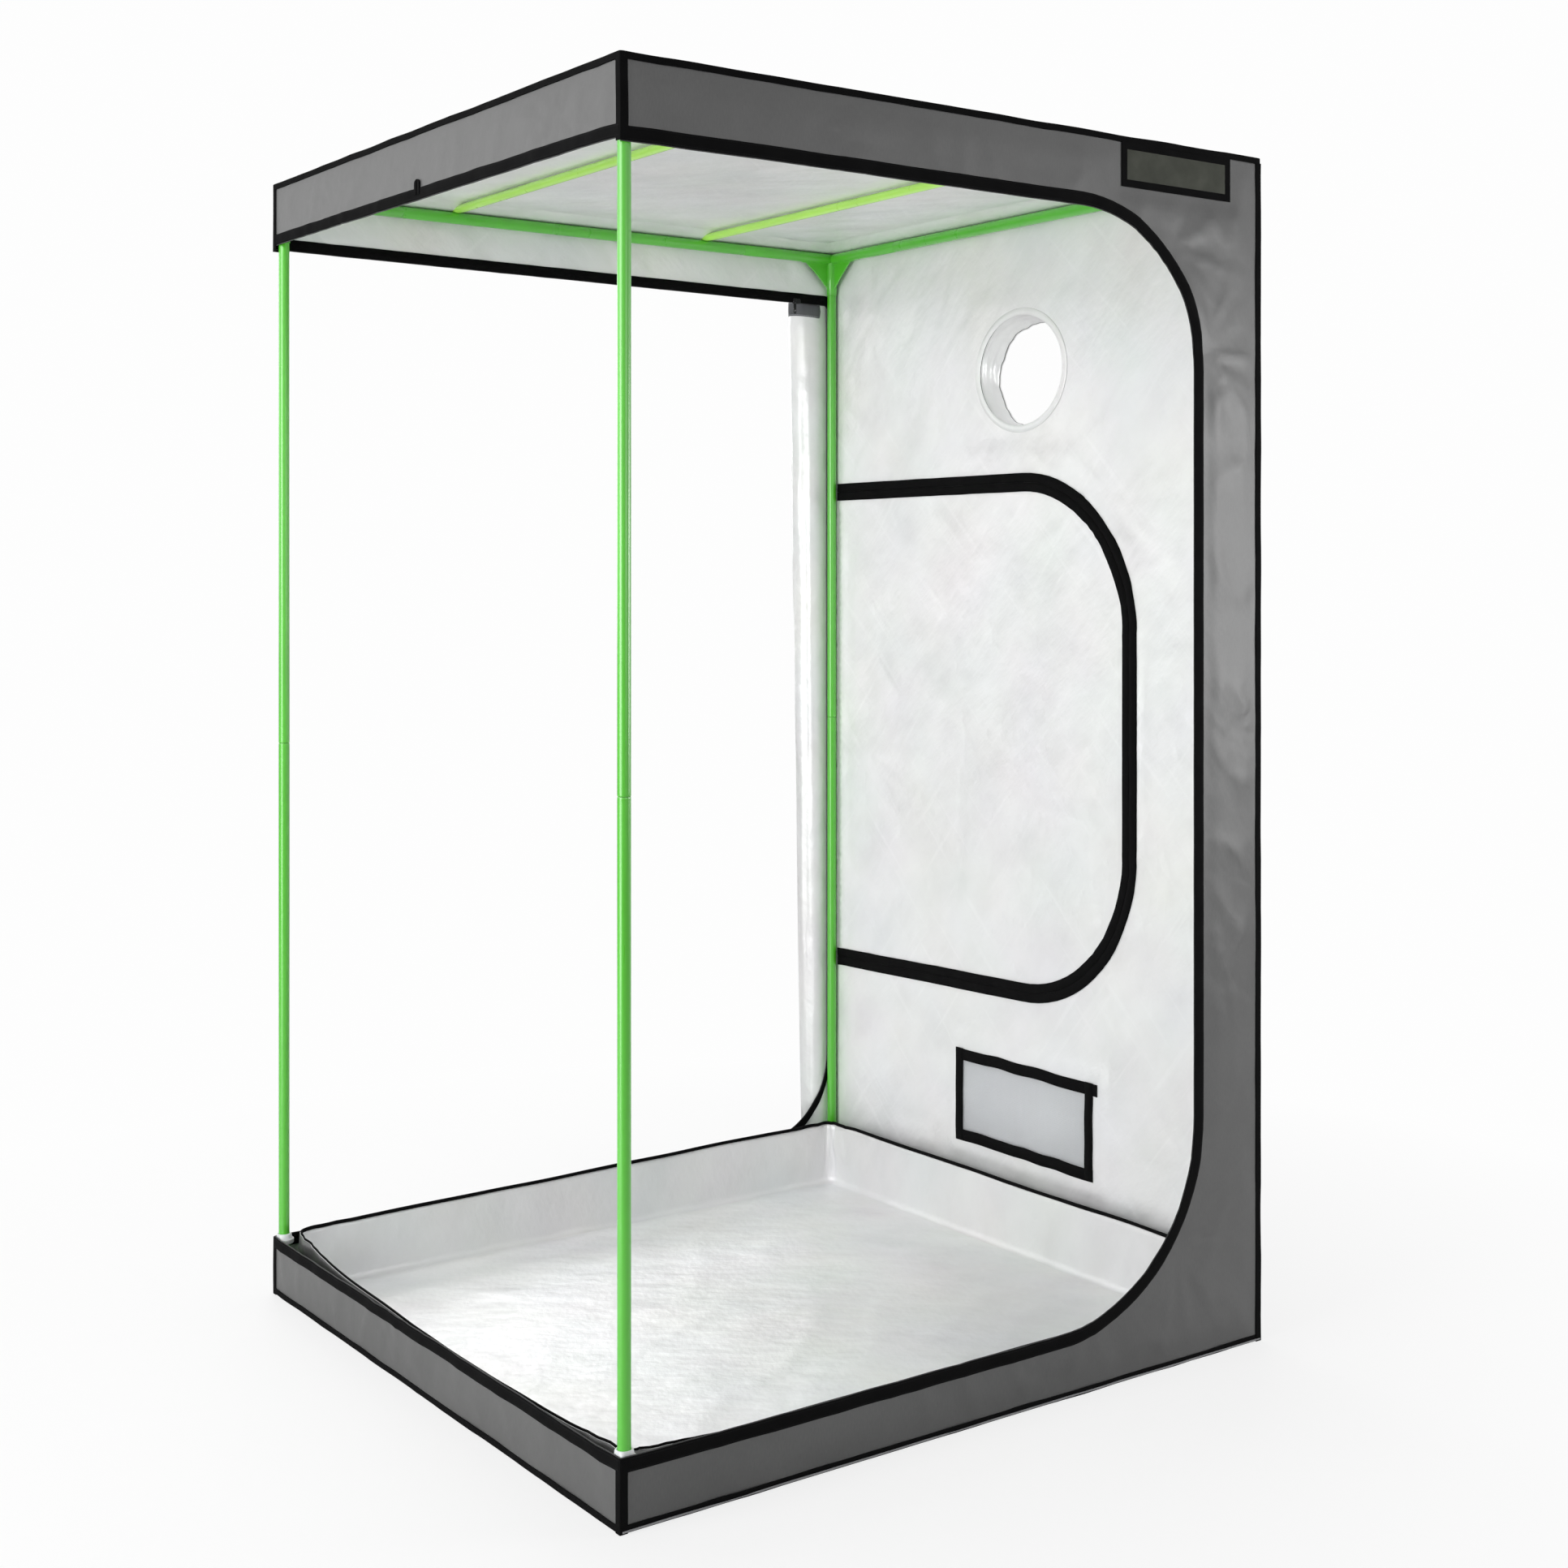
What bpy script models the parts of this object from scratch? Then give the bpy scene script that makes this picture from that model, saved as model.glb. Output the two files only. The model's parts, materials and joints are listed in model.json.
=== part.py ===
"""Indoor grow tent: a green steel frame in a silver lined cloth shell, its wrap-round door unzipped
and rolled up at the back right corner.

Metres, +Z up. The origin is at the centre of the floor panel's underside. The front faces -Y, the
wall with the half door, the duct port and the vent faces +X.
"""

import math

import bmesh
import bpy
from mathutils import Matrix, Vector

# Cloth shell, measured over its cloth
SHELL_WIDTH = 1.24
SHELL_DEPTH = 1.24
SHELL_HEIGHT = 2.00
FABRIC = 0.002
BINDING = 0.0015
BINDING_WIDTH = 0.009
CORNER_BINDING_WIDTH = 0.013
BOTTOM_BINDING_WIDTH = 0.008
FIT = 0.0003
WELD = 0.00002
OVERRUN = 0.01

# Door openings of the shell
FRONT_TOP_BAND = 0.120
LEFT_TOP_BAND = 0.115
BACK_TOP_BAND = 0.121
BOTTOM_BAND = 0.102
FRONT_ZIP_TAPE = 0.020
LEFT_ZIP_TAPE = 0.018
BACK_ZIP_TAPE = 0.020
BACK_UPRIGHT_TAPE = 0.006
FRONT_MARGIN = 0.154
FRONT_TOP_CORNER = 0.25
FRONT_BOTTOM_CORNER = 0.30
BACK_MARGIN = 0.016
BACK_TOP_CORNER = 0.010
BACK_BOTTOM_CORNER = 0.17

# Frame tubes
BAR_RADIUS = 0.011
POLE_RADIUS = 0.0095
CROSSBAR_RADIUS = 0.008
TUBE_WALL = 0.001
SPIGOT_LENGTH = 0.040
SWAGE_LENGTH = 0.003
ARM_ALONG = 0.23
ARM_UP = 0.078
WEB_ALONG = 0.085
WEB_UP = 0.078
WEB_CURVE_SHARE = 0.42
WEB_THICKNESS = 0.003
CROSSBAR_RISE = 0.015
CROSSBAR_END = 0.008
CROSSBAR_LEFT_INSET = 0.337
CROSSBAR_RIGHT_INSET = 0.322
COLLAR_RADIUS = 0.017
COLLAR_HEIGHT = 0.018

# Half door in the right wall, on the centre line of its zip, between the vent and the duct port
HALF_DOOR_ABOVE_VENT = 0.138
HALF_DOOR_BELOW_PORT = 0.108
HALF_DOOR_WIDTH = 0.903
HALF_DOOR_HINGE_INSET = 0.020
HALF_DOOR_CORNER = 0.30
HALF_DOOR_TAPE = 0.036

# Zip sliders
SLIDER_LENGTH = 0.018
SLIDER_WIDTH = 0.012
SLIDER_PLATE = 0.003
SLIDER_FIN = 0.001
SLIDER_GRIP = 0.006
PULL_LENGTH = 0.028
PULL_WIDTH = 0.008
PULL_THICKNESS = 0.0015
HALF_DOOR_SLIDER_GAP = 0.02
DOOR_SLIDER_FROM_ROLL = 0.02
DOOR_SLIDER_FROM_CORNER = 0.02

# Duct port and its sleeve
PORT_BELOW_TOP = 0.31
PORT_HALF_WIDTH = 0.122
PORT_HALF_HEIGHT = 0.107
SLEEVE_LENGTH = 0.07
SLEEVE_FLANGE = 0.012
SLEEVE_DROOP = 0.01
SLEEVE_GATHER = 0.006

# Vent low in the right wall
VENT_WIDTH = 0.40
VENT_HEIGHT = 0.182
VENT_BASE = 0.175
VENT_Y = -0.005
VENT_BORDER_SIDE = 0.030
VENT_BORDER_TOP = 0.022
VENT_HEM = 0.008
VENT_MESH = 0.001
FLAP_OVERLAP = 0.012

# Rolled door and its strap
ROLL_RADIUS = 0.036
ROLL_INSET = 0.0326
ROLL_BASE = 0.12
ROLL_TOP_GAP = 0.12
ROLL_FOLD = 0.0016
ROLL_NECK = 0.004
ROLL_TAIL = 0.0186
STRAP_WIDTH = 0.030
STRAP_BELOW_ROLL_TOP = 0.003
STRAP_THICKNESS = 0.002

# Label patch and webbing loop on the top bands
LABEL_LENGTH = 0.247
LABEL_HEIGHT = 0.0725
LABEL_FROM_RIGHT = 0.073
LOOP_WIDTH = 0.018
LOOP_HEIGHT = 0.026
LOOP_THICKNESS = 0.003
LOOP_STRAND = 0.005
LOOP_Y = 0.015
LOOP_BASE_BELOW_TOP = 0.1045

# Floor tray
TRAY_CORNER = 0.025
TRAY_EDGE = 0.004
RIM_FRONT_LEFT = 0.096
RIM_FRONT_LOW = 0.088
RIM_FRONT_RIGHT = 0.135
RIM_BACK_LEFT = 0.115
RIM_BACK_RIGHT = 0.134
RIM_DIP_START_SHARE = 0.12
RIM_DIP_END_SHARE = 0.75

# Resolution of round shapes
TUBE_SIDES = 16
CORNER_STEPS = 10
TRAY_CORNER_STEPS = 4
TRAY_SIDE_STEPS = 8
PORT_SIDES = 28
ROLL_SIDES = 24
ROLL_LEVELS = 20
WEB_STEPS = 6

# Heights and places that follow from the sizes above
HALF_WIDTH = SHELL_WIDTH / 2
HALF_DEPTH = SHELL_DEPTH / 2
ROOF_TOP = SHELL_HEIGHT - BINDING - FIT
ROOF_LOW = ROOF_TOP - FABRIC
BACK_EDGE = HALF_WIDTH - BACK_MARGIN
CROSSBAR_AXIS = ROOF_LOW - FIT - CROSSBAR_RADIUS
TOP_BAR_AXIS = CROSSBAR_AXIS - CROSSBAR_RISE
TUBE_INSET = FABRIC + FIT + BAR_RADIUS
BOTTOM_BAR_AXIS = TUBE_INSET
POLE_X = HALF_WIDTH - TUBE_INSET
POLE_Y = HALF_DEPTH - TUBE_INSET
POLE_LOW = BOTTOM_BAR_AXIS + ARM_UP + FIT
POLE_HIGH = TOP_BAR_AXIS - ARM_UP - FIT
POLE_JOINT = (POLE_LOW + POLE_HIGH) / 2
BAR_SPIGOT_RADIUS = BAR_RADIUS - TUBE_WALL - FIT
POLE_SPIGOT_RADIUS = POLE_RADIUS - TUBE_WALL - FIT
INNER_HALF_WIDTH = HALF_WIDTH - FABRIC - FIT
INNER_HALF_DEPTH = HALF_DEPTH - FABRIC - FIT
FRONT_OPENING_TOP = SHELL_HEIGHT - FRONT_TOP_BAND
LEFT_OPENING_TOP = SHELL_HEIGHT - LEFT_TOP_BAND
BACK_OPENING_TOP = SHELL_HEIGHT - BACK_TOP_BAND
BINDING_LOW = SHELL_HEIGHT - BINDING_WIDTH
OUTSIDE_X = HALF_WIDTH + FIT
OUTSIDE_Y = HALF_DEPTH + FIT
HINGE_Y = HALF_DEPTH - HALF_DOOR_HINGE_INSET
HALF_DOOR_EDGE = HINGE_Y - HALF_DOOR_WIDTH
ZIP_GAP = SLIDER_FIN + 2 * FIT
PORT_Z = SHELL_HEIGHT - PORT_BELOW_TOP
VENT_TOP = VENT_BASE + VENT_HEIGHT
HALF_DOOR_BASE = VENT_TOP + HALF_DOOR_ABOVE_VENT
HALF_DOOR_TOP = PORT_Z - PORT_HALF_HEIGHT - HALF_DOOR_BELOW_PORT
ROLL_X = HALF_WIDTH - ROLL_INSET
ROLL_Y = OUTSIDE_Y + FABRIC / 2 + ROLL_RADIUS
ROLL_TOP = SHELL_HEIGHT - ROLL_TOP_GAP
STRAP_TOP = ROLL_TOP - STRAP_BELOW_ROLL_TOP
TRAY_HALF_WIDTH = POLE_X - BAR_RADIUS - FIT
TRAY_HALF_DEPTH = POLE_Y - BAR_RADIUS - FIT
TRAY_LOW = FABRIC + FIT

GREEN = (0.10, 0.48, 0.03)
LIME = (0.42, 0.80, 0.16)
WHITE = (0.86, 0.87, 0.86)
GREY_CLOTH = (0.10, 0.105, 0.11)
SILVER = (0.74, 0.75, 0.76)
BLACK = (0.012, 0.012, 0.013)
STRAP_GREY = (0.13, 0.135, 0.14)
LABEL_OLIVE = (0.10, 0.10, 0.082)
MESH_WHITE = (0.72, 0.75, 0.79)
ZINC = (0.30, 0.30, 0.31)

# Where each corner stands, as shares of half the width and half the depth
CORNER_SHARES = {"front_left": (-1, -1), "front_right": (1, -1), "back_right": (1, 1), "back_left": (-1, 1)}


def clear_scene():
    for obj in list(bpy.data.objects):
        bpy.data.objects.remove(obj, do_unlink=True)


def new_collection(name, hidden=False):
    collection = bpy.data.collections.new(name)
    bpy.context.scene.collection.children.link(collection)
    collection.hide_render = hidden
    return collection


clear_scene()
PARTS = new_collection("grow_tent")
CUTTERS = new_collection("cutters", hidden=True)
MATERIALS = {}


def material(name, colour, roughness, metallic=0.0):
    if name not in MATERIALS:
        made = bpy.data.materials.new(name)
        made.use_nodes = True
        shader = made.node_tree.nodes["Principled BSDF"]
        shader.inputs["Base Color"].default_value = (*colour, 1)
        shader.inputs["Roughness"].default_value = roughness
        shader.inputs["Metallic"].default_value = metallic
        made.diffuse_color = (*colour, 1)
        MATERIALS[name] = made
    return MATERIALS[name]


def dress(obj, kind):
    """Gives a piece its own copy of the material of its kind."""
    looks = {
        "tube": (GREEN, 0.35),
        "crossbar": (LIME, 0.35),
        "plastic": (WHITE, 0.4),
        "cloth": (GREY_CLOTH, 0.7),
        "lining": (SILVER, 0.45),
        "tape": (BLACK, 0.8),
        "strap": (STRAP_GREY, 0.8),
        "label": (LABEL_OLIVE, 0.6),
        "net": (MESH_WHITE, 0.8),
    }
    if kind == "zinc":
        obj.data.materials.append(material(obj.name, ZINC, 0.35, 1.0))
        return
    colour, roughness = looks[kind]
    obj.data.materials.append(material(obj.name, colour, roughness))


def add_object(name, mesh, collection=None):
    obj = bpy.data.objects.new(name, mesh)
    (collection or PARTS).objects.link(obj)
    if (collection or PARTS) is CUTTERS:
        obj.hide_render = True
        obj.display_type = "WIRE"
    return obj


def box(name, low, high, collection=None):
    """An upright block between two corners."""
    low, high = Vector(low), Vector(high)
    size, centre = high - low, (low + high) / 2
    mesh = bpy.data.meshes.new(name)
    shape = bmesh.new()
    bmesh.ops.create_cube(shape, size=1)
    bmesh.ops.scale(shape, vec=size, verts=shape.verts)
    shape.to_mesh(mesh)
    shape.free()
    obj = add_object(name, mesh, collection)
    obj.location = centre
    return obj


def cylinder(name, radius, low, high, collection=None):
    """A round bar along its own Z, from low to high."""
    mesh = bpy.data.meshes.new(name)
    shape = bmesh.new()
    middle = Matrix.Translation((0, 0, (low + high) / 2))
    bmesh.ops.create_cone(
        shape, cap_ends=True, segments=TUBE_SIDES, radius1=radius, radius2=radius,
        depth=high - low, matrix=middle,
    )
    shape.to_mesh(mesh)
    shape.free()
    return add_object(name, mesh, collection)


def baked(obj, name):
    """The mesh of an object as its modifiers make it, with the object removed."""
    bpy.context.view_layer.update()
    evaluated = obj.evaluated_get(bpy.context.evaluated_depsgraph_get())
    mesh = bpy.data.meshes.new_from_object(evaluated)
    mesh.name = name
    mesh.transform(obj.matrix_world)
    bpy.data.objects.remove(obj, do_unlink=True)
    return mesh


def turned_mesh(name, profile):
    """A profile of (radius, height) points, closed, turned round Z."""
    mesh = bpy.data.meshes.new(name)
    points = [(radius, 0, height) for radius, height in profile]
    edges = [(i, (i + 1) % len(points)) for i in range(len(points))]
    mesh.from_pydata(points, edges, [])
    obj = add_object(name, mesh)
    screw = obj.modifiers.new("turn", "SCREW")
    screw.steps = TUBE_SIDES
    screw.render_steps = TUBE_SIDES
    screw.use_merge_vertices = True
    screw.merge_threshold = WELD
    made = baked(obj, name)
    made.shade_smooth()
    made.set_sharp_from_angle(angle=math.radians(40))
    return made


def flat(name, outlines, thickness, collection=None):
    """A sheet with its outlines in its own XY plane, from Z 0 to its thickness."""
    curve = bpy.data.curves.new(name, "CURVE")
    curve.dimensions = "2D"
    curve.fill_mode = "BOTH"
    curve.extrude = thickness / 2
    for outline in outlines:
        spline = curve.splines.new("POLY")
        spline.points.add(len(outline) - 1)
        for point, (u, v) in zip(spline.points, outline):
            point.co = (u, v, 0, 1)
        spline.use_cyclic_u = True
    guide = bpy.data.objects.new(name + "_outline", curve)
    bpy.context.scene.collection.objects.link(guide)
    guide.location.z = thickness / 2
    mesh = baked(guide, name)
    bpy.data.curves.remove(curve)
    shape = bmesh.new()
    shape.from_mesh(mesh)
    bmesh.ops.remove_doubles(shape, verts=shape.verts, dist=WELD)
    shape.to_mesh(mesh)
    shape.free()
    return add_object(name, mesh, collection)


def across_x(x):
    """Places a sheet's own X along +Y and its own Y along +Z, its thickness along +X from x."""
    return Matrix.Translation((x, 0, 0)) @ Matrix(((0, 0, 1, 0), (1, 0, 0, 0), (0, 1, 0, 0), (0, 0, 0, 1)))


def across_y(y):
    """Places a sheet's own X along +X and its own Y along +Z, its thickness along -Y from y."""
    return Matrix.Translation((0, y, 0)) @ Matrix.Rotation(math.radians(90), 4, "X")


def boolean(obj, other, operation):
    modifier = obj.modifiers.new(operation.lower(), "BOOLEAN")
    modifier.operation = operation
    modifier.solver = "EXACT"
    modifier.object = other


def cut(obj, cutter):
    boolean(obj, cutter, "DIFFERENCE")


def join(obj, other):
    boolean(obj, other, "UNION")


def rectangle(low_u, low_v, high_u, high_v):
    return [(low_u, low_v), (high_u, low_v), (high_u, high_v), (low_u, high_v)]


def arc(centre, radius, start, end, steps):
    """Points round a centre between two angles in degrees, both ends included."""
    angles = [math.radians(start + (end - start) * i / steps) for i in range(steps + 1)]
    return [(centre[0] + radius * math.cos(a), centre[1] + radius * math.sin(a)) for a in angles]


def bracket(end, edge, low, high, top_radius, bottom_radius):
    """A door edge: from its end along the top, round to the upright edge, and back along the bottom."""
    side = math.copysign(1, edge - end)
    upright = 0 if side > 0 else 180
    below = -90 if side > 0 else 270
    top_centre = (edge - side * top_radius, high - top_radius)
    bottom_centre = (edge - side * bottom_radius, low + bottom_radius)
    return (
        [(end, high)]
        + arc(top_centre, top_radius, 90, upright, CORNER_STEPS)
        + arc(bottom_centre, bottom_radius, upright, below, CORNER_STEPS)
        + [(end, low)]
    )


def grown(opening, level, upright):
    """A door edge moved outward: by one width at its top and bottom, by another at its upright."""
    end, edge, low, high, top_radius, bottom_radius = opening
    side = math.copysign(1, edge - end)
    return bracket(end, edge + side * upright, low - level, high + level,
                   top_radius + upright, bottom_radius + upright)


def rounded_rectangle(half_u, half_v, radius, steps):
    points = []
    for quarter, (u, v) in enumerate(((1, 1), (-1, 1), (-1, -1), (1, -1))):
        centre = (u * (half_u - radius), v * (half_v - radius))
        points += arc(centre, radius, 90 * quarter, 90 * quarter + 90, steps)
    return points


def ellipse(half_u, half_v, centre, sides):
    angles = [math.tau * i / sides for i in range(sides)]
    return [(centre[0] + half_u * math.cos(a), centre[1] + half_v * math.sin(a)) for a in angles]


def loft(name, rings, closed_loop):
    """Skin over rings of points of equal count, capped at both ends or joined end to end."""
    mesh = bpy.data.meshes.new(name)
    shape = bmesh.new()
    rows = [[shape.verts.new(point) for point in ring] for ring in rings]
    count = len(rows[0])
    for i in range(len(rows) if closed_loop else len(rows) - 1):
        row, after = rows[i], rows[(i + 1) % len(rows)]
        for j in range(count):
            shape.faces.new((row[j], row[(j + 1) % count], after[(j + 1) % count], after[j]))
    if not closed_loop:
        shape.faces.new(rows[0])
        shape.faces.new(rows[-1])
    bmesh.ops.recalc_face_normals(shape, faces=shape.faces)
    shape.to_mesh(mesh)
    shape.free()
    mesh.shade_smooth()
    mesh.set_sharp_from_angle(angle=math.radians(40))
    return add_object(name, mesh)


def corner_place(corner, height):
    """Where a frame corner stands, turned so that its own +X and +Y run along the two walls."""
    side_x, side_y = CORNER_SHARES[corner]
    turn = Matrix.Rotation(math.atan2(side_y, side_x) + math.radians(135), 4, "Z")
    return Matrix.Translation((side_x * POLE_X, side_y * POLE_Y, height)) @ turn


def web(name, turn):
    """A gusset plate with a slightly hollow edge, between the upright arm and one level arm."""
    outline = [(0, 0)]
    for i in range(WEB_STEPS + 1):
        share = i / WEB_STEPS
        hollow = 2 * share * (1 - share) * WEB_CURVE_SHARE
        outline.append((WEB_ALONG * ((1 - share) ** 2 + hollow), WEB_UP * (share ** 2 + hollow)))
    plate = flat(name, [outline], WEB_THICKNESS, CUTTERS)
    stand = Matrix.Rotation(math.radians(90), 4, "X")
    middle = Matrix.Translation((0, 0, -WEB_THICKNESS / 2))
    plate.matrix_world = Matrix.Rotation(turn, 4, "Z") @ stand @ middle
    return plate


def connector_mesh():
    """A three-armed corner: arms along +X, +Y and +Z from its hub, each with a spigot."""
    level_x = Matrix.Rotation(math.radians(90), 4, "Y")
    level_y = Matrix.Rotation(math.radians(-90), 4, "X")
    upright = Matrix.Identity(4)
    arms = (
        (level_x, ARM_ALONG, BAR_SPIGOT_RADIUS),
        (level_y, ARM_ALONG, BAR_SPIGOT_RADIUS),
        (upright, ARM_UP, POLE_SPIGOT_RADIUS),
    )
    hub = cylinder("connector", BAR_RADIUS, -BAR_RADIUS, ARM_UP)
    for i, (turn, length, spigot_radius) in enumerate(arms):
        if turn is not upright:
            arm = cylinder(f"arm_{i}", BAR_RADIUS, -BAR_RADIUS, length, CUTTERS)
            arm.matrix_world = turn
            join(hub, arm)
        spigot = cylinder(f"spigot_{i}", spigot_radius, 0, length + SPIGOT_LENGTH, CUTTERS)
        spigot.matrix_world = turn
        join(hub, spigot)
    for i, turn in enumerate((0, math.radians(90))):
        join(hub, web(f"web_{i}", turn))
    for i, (turn, length, spigot_radius) in enumerate(arms):
        bore_end = length + SPIGOT_LENGTH + OVERRUN
        bore = cylinder(f"arm_bore_{i}", spigot_radius - TUBE_WALL, 0, bore_end, CUTTERS)
        bore.matrix_world = turn
        cut(hub, bore)
    mesh = baked(hub, "corner_connector")
    mesh.shade_smooth()
    mesh.set_sharp_from_angle(angle=math.radians(40))
    return mesh


def add_connectors():
    shape = connector_mesh()
    upside_down = Matrix.Rotation(math.radians(180), 4, Vector((1, 1, 0)))
    for corner in CORNER_SHARES:
        foot = add_object(f"{corner}_bottom_connector", shape.copy())
        foot.matrix_world = corner_place(corner, BOTTOM_BAR_AXIS)
        head = add_object(f"{corner}_top_connector", shape.copy())
        head.matrix_world = corner_place(corner, TOP_BAR_AXIS) @ upside_down
        for obj in (foot, head):
            dress(obj, "tube")


def add_poles():
    """Each pole is two lengths of tube: the lower one's swaged end fits inside the upper one."""
    bore = POLE_RADIUS - TUBE_WALL
    spigot = POLE_SPIGOT_RADIUS
    low, joint = POLE_LOW, POLE_JOINT
    lower = turned_mesh("pole_lower", [
        (spigot, joint + SPIGOT_LENGTH), (spigot, joint), (POLE_RADIUS, joint - FIT), (POLE_RADIUS, low),
        (bore, low), (bore, joint - FIT - SWAGE_LENGTH), (spigot - TUBE_WALL, joint - FIT),
        (spigot - TUBE_WALL, joint + SPIGOT_LENGTH),
    ])
    upper = turned_mesh("pole_upper", [
        (POLE_RADIUS, POLE_HIGH), (POLE_RADIUS, joint + FIT), (bore, joint + FIT), (bore, POLE_HIGH),
    ])
    for corner, (side_x, side_y) in CORNER_SHARES.items():
        for half, shape in (("lower", lower), ("upper", upper)):
            pole = add_object(f"{corner}_pole_{half}", shape.copy())
            pole.location = (side_x * POLE_X, side_y * POLE_Y, 0)
            dress(pole, "tube")


def tube_mesh(name, radius, half_length):
    bore = radius - TUBE_WALL
    return turned_mesh(name, [
        (radius, half_length), (radius, -half_length), (bore, -half_length), (bore, half_length),
    ])


def add_frame_bars():
    half_x = POLE_X - ARM_ALONG - FIT
    half_y = POLE_Y - ARM_ALONG - FIT
    along_x = Matrix.Rotation(math.radians(90), 4, "Y")
    along_y = Matrix.Rotation(math.radians(-90), 4, "X")
    bar_x = tube_mesh("bar_along_x", BAR_RADIUS, half_x)
    bar_y = tube_mesh("bar_along_y", BAR_RADIUS, half_y)
    for level, height in (("top", TOP_BAR_AXIS), ("bottom", BOTTOM_BAR_AXIS)):
        for side, shape, turn, x, y in (
            ("front", bar_x, along_x, 0, -POLE_Y),
            ("back", bar_x, along_x, 0, POLE_Y),
            ("left", bar_y, along_y, -POLE_X, 0),
            ("right", bar_y, along_y, POLE_X, 0),
        ):
            bar = add_object(f"{side}_{level}_bar", shape.copy())
            bar.matrix_world = Matrix.Translation((x, y, height)) @ turn
            dress(bar, "tube")


def add_crossbars():
    """Bars under the roof, saddled over the front and back top bars."""
    half_length = POLE_Y + CROSSBAR_END
    along_y = Matrix.Rotation(math.radians(-90), 4, "X")
    along_x = Matrix.Rotation(math.radians(90), 4, "Y")
    left, right = CROSSBAR_LEFT_INSET - POLE_X, POLE_X - CROSSBAR_RIGHT_INSET
    for name, x in (("crossbar_left", left), ("crossbar_right", right)):
        bar = add_object(name, tube_mesh(name, CROSSBAR_RADIUS, half_length))
        bar.matrix_world = Matrix.Translation((x, 0, CROSSBAR_AXIS)) @ along_y
        for end, y in (("front", -POLE_Y), ("back", POLE_Y)):
            reach = CROSSBAR_RADIUS + OVERRUN
            saddle = cylinder(f"{name}_{end}_saddle", BAR_RADIUS + FIT, -reach, reach, CUTTERS)
            saddle.matrix_world = Matrix.Translation((x, y, TOP_BAR_AXIS)) @ along_x
            cut(bar, saddle)
        dress(bar, "crossbar")


def add_collars():
    """White plastic rings round the pole feet, flattened where they lie against the bands."""
    low = POLE_LOW
    ring = turned_mesh("collar", [
        (COLLAR_RADIUS, low + COLLAR_HEIGHT), (COLLAR_RADIUS, low),
        (POLE_RADIUS + FIT, low), (POLE_RADIUS + FIT, low + COLLAR_HEIGHT),
    ])
    reach = low + COLLAR_HEIGHT + OVERRUN
    inside = box("collar_room", (-INNER_HALF_WIDTH, -INNER_HALF_DEPTH, 0),
                 (INNER_HALF_WIDTH, INNER_HALF_DEPTH, reach), CUTTERS)
    for corner, (side_x, side_y) in CORNER_SHARES.items():
        collar = add_object(f"{corner}_pole_collar", ring.copy())
        collar.location = (side_x * POLE_X, side_y * POLE_Y, 0)
        boolean(collar, inside, "INTERSECT")
        dress(collar, "plastic")


def add_roof_and_floor():
    for name, low, high in (("roof_panel", ROOF_LOW, ROOF_TOP), ("floor_panel", 0, FABRIC)):
        panel = box(name, (-INNER_HALF_WIDTH, -INNER_HALF_DEPTH, low),
                    (INNER_HALF_WIDTH, INNER_HALF_DEPTH, high))
        dress(panel, "cloth" if name == "roof_panel" else "lining")


def face_outline(path):
    """A front or back face of the shell: all of it but the door opening, open at the left."""
    return path + [(-HALF_WIDTH, 0), (HALF_WIDTH, 0), (HALF_WIDTH, ROOF_TOP), (-HALF_WIDTH, ROOF_TOP)]


def add_face(side, y, opening, level, upright):
    """A front or back panel, and the zip tape of two given widths that edges its door opening."""
    panel = flat(f"{side}_panel", [face_outline(grown(opening, level, upright))], FABRIC)
    tape_outline = grown(opening, level - FIT, upright - FIT) + bracket(*opening)[::-1]
    tape = flat(f"{side}_zip_tape", [tape_outline], FABRIC)
    for obj, kind in ((panel, "cloth"), (tape, "tape")):
        obj.matrix_world = across_y(y)
        dress(obj, kind)


def add_front_and_back():
    front = (-HALF_WIDTH, HALF_WIDTH - FRONT_MARGIN, BOTTOM_BAND, FRONT_OPENING_TOP,
             FRONT_TOP_CORNER, FRONT_BOTTOM_CORNER)
    back = (-HALF_WIDTH, BACK_EDGE, BOTTOM_BAND, BACK_OPENING_TOP, BACK_TOP_CORNER, BACK_BOTTOM_CORNER)
    add_face("front", FABRIC - HALF_DEPTH, front, FRONT_ZIP_TAPE, FRONT_ZIP_TAPE)
    add_face("back", HALF_DEPTH, back, BACK_ZIP_TAPE, BACK_UPRIGHT_TAPE)


def add_left_bands():
    """The bands over and under the open left side, each with its zip tape."""
    outer, inner = -HALF_WIDTH, -HALF_WIDTH + FABRIC
    reach = INNER_HALF_DEPTH
    top_seam = LEFT_OPENING_TOP + LEFT_ZIP_TAPE
    bottom_seam = BOTTOM_BAND - LEFT_ZIP_TAPE
    for name, low, high, kind in (
        ("left_top_band", top_seam + FIT, ROOF_TOP, "cloth"),
        ("left_top_zip_tape", LEFT_OPENING_TOP, top_seam, "tape"),
        ("left_bottom_band", 0, bottom_seam - FIT, "cloth"),
        ("left_bottom_zip_tape", bottom_seam, BOTTOM_BAND, "tape"),
    ):
        dress(box(name, (outer, -reach, low), (inner, reach, high)), kind)


def half_door_path(offset):
    path = (HINGE_Y, HALF_DOOR_EDGE, HALF_DOOR_BASE, HALF_DOOR_TOP, HALF_DOOR_CORNER, HALF_DOOR_CORNER)
    return grown(path, offset, offset)


def shortened(path):
    """A half door edge whose two ends stop a fit short of the hinge line."""
    return [(HINGE_Y - FIT, path[0][1])] + path[1:-1] + [(HINGE_Y - FIT, path[-1][1])]


def vent_rectangle(grow):
    """The vent frame's outline, grown on all sides."""
    half = VENT_WIDTH / 2 + grow
    return rectangle(VENT_Y - half, VENT_BASE - grow, VENT_Y + half, VENT_TOP + grow)


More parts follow.
